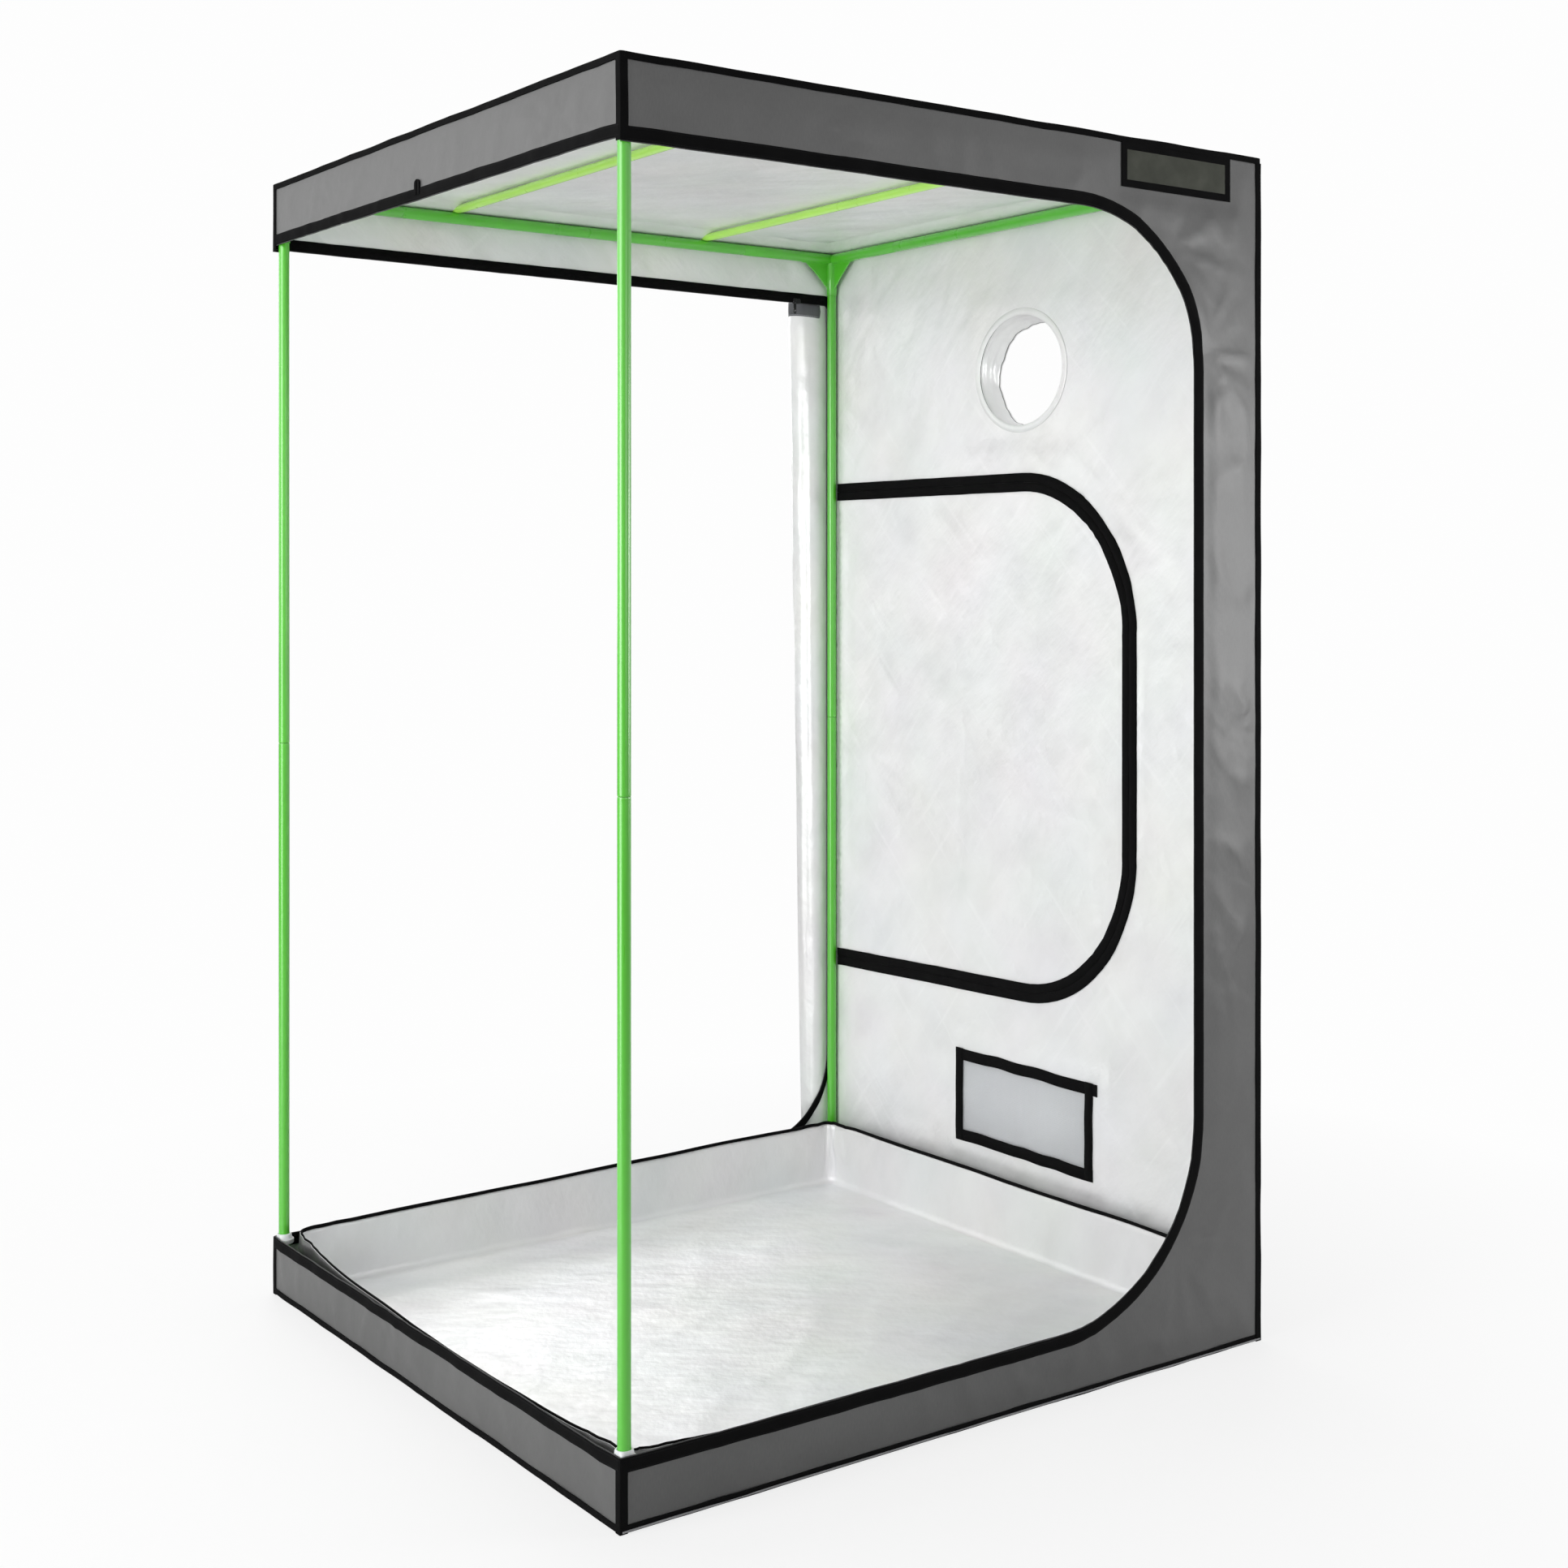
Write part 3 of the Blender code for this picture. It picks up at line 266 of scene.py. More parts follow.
class Look:
    """A Principled material over one texture space, built node by node."""

    def __init__(self, name, roughness, metallic=0.0, space="UV", **sockets):
        self.made = bpy.data.materials.new(name)
        self.made.use_nodes = True
        self.tree = self.made.node_tree
        self.shader = self.tree.nodes["Principled BSDF"]
        for key, value in {"Roughness": roughness, "Metallic": metallic, **sockets}.items():
            self.shader.inputs[key.replace("_", " ")].default_value = value
        self.coords = self.node("TexCoord").outputs[space]

    def node(self, kind, values=None, **settings):
        return node(self.tree, kind, values, **settings)

    def calc(self, operation, *values):
        return self.node("Math", dict(enumerate(values)), operation=operation).outputs[0]

    def blend(self, *parts):
        """The sum of values, each taken by its share."""
        total, *others = [self.calc("MULTIPLY", value, share) for value, share in parts]
        for other in others:
            total = self.calc("ADD", total, other)
        return total

    def mixed(self, share, first, second):
        return self.node("Mix", {0: share, 6: first, 7: second}, data_type="RGBA").outputs[2]

    def grain(self, scale, detail, across=1.0, turn=0.0, upright=1.0):
        """Noise, stretched along an axis that is turned in its plane."""
        values = {"Vector": self.coords, "Rotation": (0, 0, turn), "Scale": (1, 1 / across, 1 / upright)}
        place = self.node("Mapping", values, vector_type="TEXTURE").outputs[0]
        return self.node("TexNoise", {"Vector": place, "Scale": scale, "Detail": detail}).outputs["Fac"]

    def ridges(self, pitch, way="X", distortion=0.0):
        values = {"Vector": self.coords, "Scale": WAVE_UNIT / pitch, "Distortion": distortion}
        return self.node("TexWave", values, bands_direction=way).outputs["Fac"]

    def ramp(self, value, *stops):
        """Colours along a value, from (place, colour) stops."""
        made = self.node("ValToRGB", {"Fac": value})
        elements = made.color_ramp.elements
        while len(elements) < len(stops):
            elements.new(0.5)
        for element, (place, colour) in zip(elements, stops):
            element.position = place
            element.color = (*colour, 1)
        return made.outputs["Color"]

    def tint(self, value, colour, *stops):
        """Shades of one colour along a value, from (place, share) stops."""
        return self.ramp(value, *((place, shade(colour, by)) for place, by in stops))

    def between(self, value, low, high, start=0.3, end=0.7):
        values = {"Value": value, "From Min": start, "From Max": end, "To Min": low, "To Max": high}
        return self.node("MapRange", values).outputs["Result"]

    def bumped(self, height, distance, strength=1.0, under=None):
        values = {"Height": height, "Distance": distance, "Strength": strength}
        return self.node("Bump", values if under is None else {**values, "Normal": under}).outputs["Normal"]

    def done(self, colour, normal, roughness=None):
        """Wires the shader and gives the material."""
        for key, value in (("Base Color", colour), ("Normal", normal), ("Roughness", roughness)):
            if value is not None:
                self.tree.links.new(value, self.shader.inputs[key])
        return self.made


def powder_coat(name, colour):
    """Gloss powder coat: slight unevenness of colour, an orange-peel skin and faint rub marks."""
    look = Look(name, 0.36, space="Object", Coat_Weight=0.9, Coat_Roughness=0.22, Coat_IOR=1.55)
    marks = look.grain(60, 3, upright=0.08)
    both = look.blend((look.grain(7, 4), 0.75), (marks, 0.25))
    tint = look.tint(both, colour, (0.3, 0.95), (0.5, 1), (0.72, 1.05))
    return look.done(tint, look.bumped(look.grain(700, 1), 0.0001, 0.35), look.between(marks, 0.26, 0.46))


def oxford(name, colour):
    """Coated polyester cloth: a plain weave with soft creases and slight fading."""
    look = Look(name, 0.40, Sheen_Weight=0.06, Specular_IOR_Level=0.7)
    clouds = look.grain(3.2, 4)
    both = look.blend((clouds, 0.7), (look.grain(420, 2, 0.25), 0.3))
    tint = look.tint(both, colour, (0.32, 0.84), (0.5, 1), (0.68, 1.2))
    creases = look.bumped(look.grain(14, 3, 0.55, 0.6), 0.004, 0.5)
    threads = look.calc("MULTIPLY", look.ridges(WEAVE_PITCH), look.ridges(WEAVE_PITCH, "Y"))
    return look.done(tint, look.bumped(threads, WEAVE_DEPTH, 0.6, creases), look.between(clouds, 0.34, 0.46))


def crinkled_film(name, colour, depth=1.0, scratched=1.0):
    """Silver film on the cloth: a soft mirror with fine crinkles, scratches and faint rainbow casts."""
    look = Look(name, 0.45, 0.22)
    streaks, fine = look.grain(17, 4, 0.3, 0.6), look.grain(90, 3, 0.5, -0.4)
    scratches = look.calc("MAXIMUM", look.grain(60, 3, 0.05, 0.7), look.grain(60, 3, 0.05, -0.8))
    both = look.blend((look.grain(5, 3, 0.6, 0.5), 0.35), (look.grain(11, 4, 0.8, 1.1), 0.40), (streaks, 0.25))
    worn = look.calc("ADD", both, look.between(scratches, 0.0, 0.09 * scratched, 0.60, 0.72))
    grey = look.tint(worn, colour, (0.34, 0.92), (0.5, 1), (0.64, 1.05))
    cast = look.node("TexNoise", {"Vector": look.coords, "Scale": 4.3, "Detail": 2.0}).outputs["Color"]
    facets = look.node("TexVoronoi", {"Vector": look.coords, "Scale": 34.0}, feature="SMOOTH_F1")
    relief = None
    for height, deep, strength in (
        (look.grain(18, 4, 0.45, 0.9), 0.006, 0.55), (facets.outputs["Distance"], 0.002, 0.35),
        (look.blend((streaks, 0.4), (scratches, scratched)), 0.0008, 0.5), (fine, 0.0008, 0.55),
    ):
        relief = look.bumped(height, deep * depth, strength, relief)
    return look.done(look.mixed(0.06, grey, cast), relief, look.between(fine, 0.34, 0.5))


def ribbed_tape(name, colour, stitched=True):
    """Grosgrain tape: ribs across its length and a row of stitches along each edge."""
    look = Look(name, 0.85, Specular_IOR_Level=0.06)
    dusty = look.grain(26, 4)
    relief = look.bumped(look.ridges(RIB_PITCH, distortion=0.4), RIB_DEPTH, 0.6, look.bumped(dusty, 0.0015, 0.4))
    tint = look.tint(dusty, colour, (0.35, 0.85), (0.55, 1), (0.8, 1.25))
    if stitched:
        along, edge, _ = look.node("SeparateXYZ", {"Vector": look.coords}).outputs
        dash = look.calc("FRACT", look.calc("MULTIPLY", along, 1 / STITCH_LENGTH))
        thread = look.calc("MULTIPLY", look.calc("LESS_THAN", dash, STITCH_SHARE),
                           look.calc("COMPARE", edge, STITCH_INSET, STITCH_HALF))
        relief = look.bumped(thread, 0.0003, 0.8, relief)
        tint = look.mixed(thread, tint, (*shade(colour, STITCH_PALER), 1))
    return look.done(tint, relief, look.between(dusty, 0.75, 0.9))


def coil(name):
    """Nylon zip coil: fine turns along its length, with painted shade between the turns and a painted highlight on
    their crests.
    """
    look = Look(name, 0.38)
    turns = look.ridges(COIL_PITCH)
    # Painted shade and painted highlight follow the turns
    return look.done(look.ramp(turns, (0.2, COIL_SHADE_BETWEEN_TURNS), (0.8, COIL_HIGHLIGHT_ON_TURNS)), look.bumped(turns, 0.0005))


def moulded(name, colour):
    """Satin injection moulded plastic with a fine spark-eroded grain."""
    look = Look(name, 0.42, space="Object", Subsurface_Weight=0.05)
    cloud = look.grain(30, 3)
    tint = look.tint(cloud, colour, (0.3, 0.93), (0.7, 1))
    return look.done(tint, look.bumped(look.grain(1500, 1), 0.0001, 0.4), look.between(cloud, 0.36, 0.5))


def enamel(name, colour):
    """Black enamelled zinc, rubbed through to bare metal where fingers reach."""
    look = Look(name, 0.34, 0.6, "Object")
    worn = look.grain(260, 4)
    tint = look.ramp(worn, (0.6, colour), (0.72, BARE_METAL))
    return look.done(tint, look.bumped(worn, 0.0001, 0.5), look.between(worn, 0.28, 0.45))


def netting(name, colour):
    look = Look(name, 0.7, Sheen_Weight=0.2)
    fibre = look.grain(900, 2, 0.2)
    return look.done(look.tint(fibre, colour, (0.3, 0.85), (0.7, 1)), look.bumped(fibre, 0.0001, 0.6))


GREEN = powder_coat("green_powder_coat", (0.078, 0.49, 0.018))
LIME = powder_coat("lime_powder_coat", (0.48, 0.90, 0.13))
GREY = oxford("grey_oxford_cloth", (0.080, 0.0805, 0.080))
FILM = crinkled_film("silver_lining_film", (0.86, 0.862, 0.866))
TRAY_FILM = crinkled_film("silver_tray_film", (0.80, 0.805, 0.805), 1.3, 0.25)
# The rolled door's film is the lining film made darker: painted shade of the wound laps
SHADED_ROLL_FILM = crinkled_film("silver_roll_film_painted_shade", (0.78, 0.79, 0.785), 1.3, 0.5)
BLACK = ribbed_tape("black_grosgrain", (0.0032, 0.0032, 0.0034))
PLAIN_BLACK = ribbed_tape("black_binding", (0.0030, 0.0030, 0.0032), False)
PIPING = ribbed_tape("light_piping", (0.34, 0.34, 0.35), False)
STRAP = ribbed_tape("grey_webbing", (0.115, 0.118, 0.125))
PATCH = ribbed_tape("olive_patch_cloth", (0.086, 0.090, 0.076), False)
COIL = coil("zip_coil")
WHITE = moulded("white_plastic_satin", (0.80, 0.81, 0.81))
ZINC = enamel("black_enamel", (0.014, 0.014, 0.015))
NET = netting("net_thread", (0.84, 0.86, 0.89))


# Shapes

SHARP, TURNED_SHARP, PLATE_SHARP, ARM_SHARP, SLEEVE_SHARP = 50, 40, 35, 60, 70
TURN_SIDES, HEM_SIDES = 40, 8
TUBE_WALL, TUBE_LIP, PLATE_ROUND = 0.001, 0.0008, 0.0004


def linked(name, data):
    obj = bpy.data.objects.new(name, data)
    bpy.context.scene.collection.objects.link(obj)
    return obj


def made_object(name, points, faces, uvs, materials, sharp=SHARP):
    """An object from points and faces, with one UV pair for each corner of each face."""
    mesh = bpy.data.meshes.new(name)
    mesh.from_pydata([tuple(p) for p in points], [], faces)
    layer = mesh.uv_layers.new(name="cloth")
    layer.data.foreach_set("uv", np.asarray(uvs, np.float32).ravel())
    for made in materials:
        mesh.materials.append(made)
    mesh.validate()
    mesh.shade_smooth()
    mesh.set_sharp_from_angle(angle=math.radians(sharp))
    return linked(name, mesh)


def skin(name, rows, materials, wrap=False, loop=False, caps=False, across=None, sharp=SHARP):
    """A surface over rows of points. wrap closes each row, loop joins the last row to the first."""
    grid = np.asarray(rows, float)
    count, columns = grid.shape[:2]
    steps = np.linalg.norm(np.diff(grid, axis=0, append=grid[:1]), axis=2).mean(axis=1)
    along = np.concatenate([[0], np.cumsum(steps)])
    if across is None:
        widths = np.linalg.norm(np.diff(grid, axis=1, append=grid[:, :1]), axis=2).mean(axis=0)
        across = np.concatenate([[0], np.cumsum(widths)])
    else:
        across = list(across) + [across[0]]
    faces, uvs = [], []
    for i in range(count if loop else count - 1):
        after = (i + 1) % count
        for j in range(columns if wrap else columns - 1):
            beside = (j + 1) % columns
            faces.append((i * columns + j, i * columns + beside, after * columns + beside, after * columns + j))
            uvs += [(along[i], across[j]), (along[i], across[j + 1]),
                    (along[i + 1], across[j + 1]), (along[i + 1], across[j])]
    if caps:
        faces += [tuple(range(columns))[::-1], tuple((count - 1) * columns + j for j in range(columns))]
        uvs += [(0, across[j]) for j in range(columns)] * 2
    obj = made_object(name, grid.reshape(-1, 3), faces, uvs, materials, sharp)
    if wrap:
        turn_out(obj.data)
    return obj


def turn_out(mesh):
    """Turns a closed mesh's faces outward."""
    mesh.calc_loop_triangles()
    points = np.empty(len(mesh.vertices) * 3)
    mesh.vertices.foreach_get("co", points)
    corners = np.empty(len(mesh.loop_triangles) * 3, np.int32)
    mesh.loop_triangles.foreach_get("vertices", corners)
    if np.linalg.det(points.reshape(-1, 3)[corners].reshape(-1, 3, 3)).sum() < 0:
        mesh.flip_normals()


def joined(name, objects):
    """One object out of several, which keep their materials."""
    with bpy.context.temp_override(active_object=objects[0], selected_editable_objects=objects):
        bpy.ops.object.join()
    objects[0].name = objects[0].data.name = name
    return objects[0]


def place(obj, body, node_names=(), slot=None):
    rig.ride(obj, body)
    if node_names:
        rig.replaces(obj, *node_names)
    if slot:
        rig.slot(obj, slot)
    return obj


def thicken(obj, thick, offset=-1.0):
    made = obj.modifiers.new("thickness", "SOLIDIFY")
    made.thickness = thick
    made.offset = offset
    made.material_offset = len(obj.data.materials) - 1
    return obj


def smooth(value, start, end):
    t = min(1.0, max(0.0, (value - start) / (end - start)))
    return t * t * (3 - 2 * t)


def around(count):
    return [math.tau * k / count for k in range(count)]


def ring_at(point, first, second, radius):
    """A ring of points for a bead, a hem or a bridge."""
    return [point + (first * math.cos(a) + second * math.sin(a)) * radius for a in around(HEM_SIDES)]


def rectangle(low_u, low_v, high_u, high_v):
    return [(low_u, low_v), (high_u, low_v), (high_u, high_v), (low_u, high_v)]


def stand(first, second, third, origin):
    """The frame of a plate: its two axes, the way that its thickness goes, and its place."""
    return Matrix(((first.x, second.x, third.x, origin.x), (first.y, second.y, third.y, origin.y),
                   (first.z, second.z, third.z, origin.z), (0, 0, 0, 1)))


def turned(name, profile, material, start, along, wrap_profile=True, sharp=TURNED_SHARP):
    """A profile of (radius, distance) points turned about an axis."""
    along = Vector(along).normalized()
    across = along.orthogonal().normalized()
    beside = along.cross(across)
    rows = []
    for a in around(TURN_SIDES):
        spoke = across * math.cos(a) + beside * math.sin(a)
        rows.append([Vector(start) + along * d + spoke * r for r, d in profile])
    return skin(name, rows, [material], wrap=wrap_profile, loop=True, sharp=sharp)


def tube(name, start, end, radius):
    """A cut green tube with slightly rolled ends, open right through, in the place of its node."""
    length, lip, rolled = (end - start).length, TUBE_LIP, TUBE_LIP * 0.4
    profile = [(radius - rolled, 0), (radius, lip), (radius, lip * 3), (radius, length - lip * 3),
               (radius, length - lip), (radius - rolled, length), (radius - TUBE_WALL, length), (radius - TUBE_WALL, 0)]
    place(turned(f"{name}_dressed", profile, GREEN, start, end - start), "tent", [name], "green_tube")


def plate(name, outlines, thick, material, rounding, frame_of):
    """A flat plate with rounded edges, from outlines in its own plane."""
    curve = bpy.data.curves.new(name, "CURVE")
    curve.dimensions = "2D"
    curve.fill_mode = "BOTH"
    curve.extrude = thick / 2 - rounding
    curve.bevel_depth = rounding
    curve.bevel_resolution = 2
    curve.offset = -rounding
    for outline in outlines:
        spline = curve.splines.new("POLY")
        spline.points.add(len(outline) - 1)
        for point, (u, v) in zip(spline.points, outline):
            point.co = (u, v, 0, 1)
        spline.use_cyclic_u = True
    guide = linked(name + "_guide", curve)
    bpy.context.view_layer.update()
    mesh = bpy.data.meshes.new_from_object(guide.evaluated_get(bpy.context.evaluated_depsgraph_get()))
    bpy.data.objects.remove(guide)
    bpy.data.curves.remove(curve)
    layer = mesh.uv_layers.new(name="cloth") if not mesh.uv_layers else mesh.uv_layers[0]
    for loop in mesh.loops:
        layer.data[loop.index].uv = mesh.vertices[loop.vertex_index].co.xy
    mesh.transform(frame_of)
    mesh.materials.clear()
    mesh.materials.append(material)
    mesh.shade_smooth()
    mesh.set_sharp_from_angle(angle=math.radians(PLATE_SHARP))
    return linked(name, mesh)


# How the cloth stands out of its walls. WAVES are waves in a metre: across and up, or all four shares.

SWELL, CREASE, CRINKLE = 0.0034, 0.0022, 0.0005
SWELL_WAVES, CREASE_WAVES, CRINKLE_WAVES = (3.1, 0, 0, 2.2), (9, 4, -3, 5), (34, 0, 0, 26)
CREASE_SEED, CRINKLE_SEED, CREASE_EDGE = 5, 9, 5
PUCKER_SPOKES, PUCKER_SPREAD, PUCKER_EDGE, PUCKER_END = 0.55, 7, 4, 3
HEM_STILL, HEM_FREE, SEWN_STILL, ZIP_TRAVEL = 0.004, 0.05, 0.002, 0.16
STRENGTH = {"front": 1.0, "back": 1.0, "left": 0.9, "right": 1.0, "roof": 0.6, "floor": 0.3}
FRONT_STILL, HINGE_STILL = (0.36, 1.66), 0.006


def still(name, axis, reach=0.03):
    """A node's place on its wall, as its low and high corners, where the cloth behind it lies still."""
    low, high = low_high(name)
    return low[axis], high[axis], low.z, high.z, reach


def zip_run(name, way):
    """The place of a slider over its whole travel, up or down."""
    left, right, low, high, reach = still(name, 1)
    return left, right, low + min(way, 0) * ZIP_TRAVEL, high + max(way, 0) * ZIP_TRAVEL, reach


FRONT_EDGE = low_high("front_zip_tape")[1].x
ROLL_LOW, ROLL_HIGH = low_high("door_roll")
CALM = {
    "front": [still("label_patch", 0), (FRONT_EDGE - DOOR_TAPE, FRONT_EDGE, *FRONT_STILL, 0.035)],
    "back": [still("door_upper_slider", 0), still("door_lower_slider", 0),
             (middle("door_roll").x, HALF, ROLL_LOW.z, ROLL_HIGH.z, 0.02)],
    "left": [still("band_loop", 1, 0.015)],
    "right": [zip_run("half_door_upper_slider", 1), zip_run("half_door_lower_slider", -1),
              (DOOR_HIGH.y - HINGE_STILL, INNER, DOOR_LOW.z, DOOR_HIGH.z, 0.03),
              still("vent_flap", 1), still("duct_sleeve", 1, 0.05)],
    "roof": [],
    "floor": [],
}
# Puckers sewn into the cloth by a curved tape or a seam: place, reach, height, folds
PUCKERS = {
    "front": [(0.49, 1.66, 0.10, 0.0024, 5), (0.41, 1.83, 0.10, 0.0020, 5), (0.42, 0.20, 0.12, 0.0020, 5),
              (-0.30, 1.93, 0.10, 0.0018, 4), (0.53, 1.35, 0.08, 0.0010, 5), (0.54, 1.02, 0.08, 0.0012, 5),
              (0.53, 0.62, 0.08, 0.0012, 5), (0.12, 0.05, 0.08, 0.0015, 3)],
    "back": [(0.1, 1.945, 0.06, 0.0020, 7), (-0.25, 1.945, 0.06, 0.0020, 5), (0.42, 1.945, 0.06, 0.0020, 7),
             (-0.5, 1.945, 0.06, 0.0018, 5)],
    "left": [(-0.45, 1.93, 0.08, 0.0022, 5), (0.35, 1.93, 0.08, 0.0020, 5), (0.1, 0.05, 0.08, 0.0015, 3)],
    "right": [(0.00, 1.55, 0.12, 0.0022, 5), (-0.26, 1.43, 0.12, 0.0020, 5), (-0.26, 0.53, 0.12, 0.0020, 5),
              (0.50, 1.84, 0.12, 0.0016, 6), (0.50, 0.92, 0.16, 0.0018, 4), (-0.47, 1.15, 0.15, 0.0016, 4),
              (-0.15, 0.30, 0.12, 0.0018, 4), (0.25, 0.20, 0.12, 0.0018, 4), (-0.45, 0.25, 0.12, 0.0018, 5)],
    "roof": [(-0.5, -0.5, 0.12, 0.0020, 5), (0.5, 0.5, 0.12, 0.0020, 5), (0.0, 0.1, 0.2, 0.0015, 5)],
    "floor": [],
}


def rough(u, v, waves, seed):
    """Noise at a place, from -1 to 1."""
    a, b, c, d = waves if isinstance(waves, tuple) else (waves, 0, 0, waves)
    return noise.noise(Vector((u * a + v * b, u * c + v * d, seed)))


def swell(*at):
    return 0.5 + 0.5 * rough(*at)


def ridge(edge, *at):
    return (1 - abs(rough(*at))) ** edge


def fold(wall, u, v):
    """How far the cloth stands out of its wall at a place: swells, creases, crinkles and puckers."""
    seed = SEEDS[wall]
    height = SWELL * swell(u, v, SWELL_WAVES, seed)
    height += CREASE * ridge(CREASE_EDGE, u, v, CREASE_WAVES, seed + CREASE_SEED)
    height += CRINKLE * rough(u, v, CRINKLE_WAVES, seed + CRINKLE_SEED)
    for pu, pv, reach, tall, count in PUCKERS[wall]:
        away = math.hypot(u - pu, v - pv) / reach
        if away < PUCKER_END:
            spoke = Vector((u - pu, v - pv)).normalized() * count * PUCKER_SPOKES
            ray = ridge(PUCKER_EDGE, spoke.x + pu * PUCKER_SPREAD, spoke.y + pv * PUCKER_SPREAD, 1, seed)
            height += tall * ray * away * math.exp(1 - away * away)
    flat = wall in ("roof", "floor")
    border = INNER if flat else HALF
    room = min(border - abs(u), border - abs(v) if flat else min(v, ROOF - v))
    height *= STRENGTH[wall] * smooth(room, HEM_STILL, HEM_FREE)
    for low_u, high_u, low_v, high_v, reach in CALM[wall]:
        away = math.hypot(max(low_u - u, 0, u - high_u), max(low_v - v, 0, v - high_v))
        height *= smooth(away, SEWN_STILL, reach)
    return max(0.0, height)


def on_wall(wall, u, v, out=0.0):
    axis_u, axis_v, outward, origin = WALLS[wall]
    return origin + axis_u * u + axis_v * v + outward * (out + fold(wall, u, v))


# Outlines and the cloth over them

FILL_ROOM, FILL_JOIN = 0.6, 1e-7
TAPE_STEP, TAPE_ROUND, TAPE_CROWN, TAPE_WANDER, COIL_WANDER = 0.012, 0.0006, 0.0002, 0.0004, 0.0001
CROWN_SHARES = ((0.25, 1), (0.5, 1.2), (0.75, 1))
SWAY_WAVES, LIFT_WAVES, SWAY_SPREAD, LIFT_SEED = 17, 29, 900, 7.7


def evenly(path, step, closed=True):
    """The points of an outline or a path, with points added so that none are further apart than step."""
    out = []
    for start, end in zip(path, path[1:] + path[:1] if closed else path[1:]):
        count = max(1, math.ceil(math.dist(start, end) / step))
        out += [(start[0] + (end[0] - start[0]) * i / count, start[1] + (end[1] - start[1]) * i / count)
                for i in range(count)]
    return out if closed else out + [tuple(path[-1])]


def inside(points, loops):
    """Whether each point is inside the first loop and outside the others."""
    within = np.ones(len(points), bool)
    for number, loop in enumerate(loops):
        a = np.asarray(loop)
        b = np.roll(a, -1, axis=0)
        px, py = points[:, :1], points[:, 1:]
        crosses = (a[:, 1] > py) != (b[:, 1] > py)
        run = np.where(b[:, 1] == a[:, 1], 1, b[:, 1] - a[:, 1])
        left = px < a[:, 0] + (py - a[:, 1]) * (b[:, 0] - a[:, 0]) / run
        odd = (crosses & left).sum(axis=1) % 2 == 1
        within &= odd if number == 0 else ~odd
    return within


def clear_of(points, loops, room):
    """Whether each point keeps away from every outline."""
    free = np.ones(len(points), bool)
    for loop in loops:
        a = np.asarray(loop)
        for part in np.array_split(np.arange(len(points)), max(1, len(points) // 2000)):
            free[part] &= np.linalg.norm(points[part, None] - a[None], axis=2).min(axis=1) > room
    return free


def filled(loops, step, exact=False):
    """Triangles over an outline with holes: its points, even points inside, and their faces.
    An exact outline gets no points added; its own come first."""
    if not exact:
        loops = [evenly(loop, step) for loop in loops]
    low, high = np.min(loops[0], axis=0), np.max(loops[0], axis=0)
    tall = step * math.sqrt(3) / 2
    points = np.array([(u + (row % 2) * step / 2, v)
                       for row, v in enumerate(np.arange(low[1] + tall / 2, high[1], tall))
                       for u in np.arange(low[0] + step / 4, high[0], step)])
    points = points[inside(points, loops)]
    points = points[clear_of(points, loops, step * FILL_ROOM)]
    verts, edges = [], []
    for loop in loops:
        first = len(verts)
        verts += loop
        edges += [(first + i, first + (i + 1) % len(loop)) for i in range(len(loop))]
    verts += [tuple(p) for p in points]
    out, _, faces, *_ = geometry.delaunay_2d_cdt([Vector(p) for p in verts], edges, [], 0, FILL_JOIN)
    out, faces = np.array([tuple(p) for p in out]), np.array(faces)
    return out, faces[inside(out[faces].mean(axis=1), loops)]


def sheet_on_wall(name, wall, loops, step=FINE_STEP):
    """Cloth over a wall: the way out shows the grey cloth, the way in the film."""
    flat, faces = filled(loops, step)
    axis_u, axis_v, outward, _ = WALLS[wall]
    if axis_u.cross(axis_v).dot(outward) < 0:
        faces = faces[:, ::-1]
    points = [on_wall(wall, u, v) for u, v in flat]
    return thicken(made_object(name, points, faces.tolist(), flat[faces.ravel()], [GREY, FILM]), CLOTH * CLOTH_SHARE)


def normals_of(path, closed):
    """The way to the left of a flat path at each of its points."""
    pts = np.asarray(path, float)
    run = np.roll(pts, -1, axis=0) - np.roll(pts, 1, axis=0) if closed else np.gradient(pts, axis=0)
    run /= np.linalg.norm(run, axis=1)[:, None]
    return np.stack([-run[:, 1], run[:, 0]], axis=1)


def strip(name, wall, path, low, high, inner, outer, material, closed=False, wander=TAPE_WANDER, upright=1.0):
    """Tape sewn along a flat path: from low to high beside it, from inner to outer through the cloth.
    Where the path runs upright, its width is only the given share."""
    pts = np.asarray(evenly(path, TAPE_STEP, closed))
    soft = min(TAPE_ROUND, (outer - inner) / 2.5)
    crown = [(low + (high - low) * share, outer + TAPE_CROWN * tall) for share, tall in CROWN_SHARES]
    section = [(low, inner + soft), (low, outer - soft), (low + soft, outer), *crown, (high - soft, outer),
               (high, outer - soft), (high, inner + soft), (high - soft, inner), (low + soft, inner)]
    rows = []
    for point, side in zip(pts, normals_of(pts, closed)):
        sway = wander * rough(*point, SWAY_WAVES, low * SWAY_SPREAD + SEEDS[wall])
        lift = wander * swell(*point, LIFT_WAVES, LIFT_SEED)
        share = side[1] ** 2 + upright * side[0] ** 2
        row = []
        for across, out in section:
            u, v = point + side * (across * share + sway)
            row.append(on_wall(wall, u, v, out + (lift if out > (inner + outer) / 2 else 0)))
        rows.append(row)
    across = [min(o - low, high - o) for o, _ in section]
    return skin(name, rows, [material], wrap=True, loop=closed, caps=not closed, across=across)


def arc(centre, radius, start, end, steps=20):
    angles = [math.radians(start + (end - start) * i / steps) for i in range(steps + 1)]
    return [(centre[0] + radius * math.cos(a), centre[1] + radius * math.sin(a)) for a in angles]


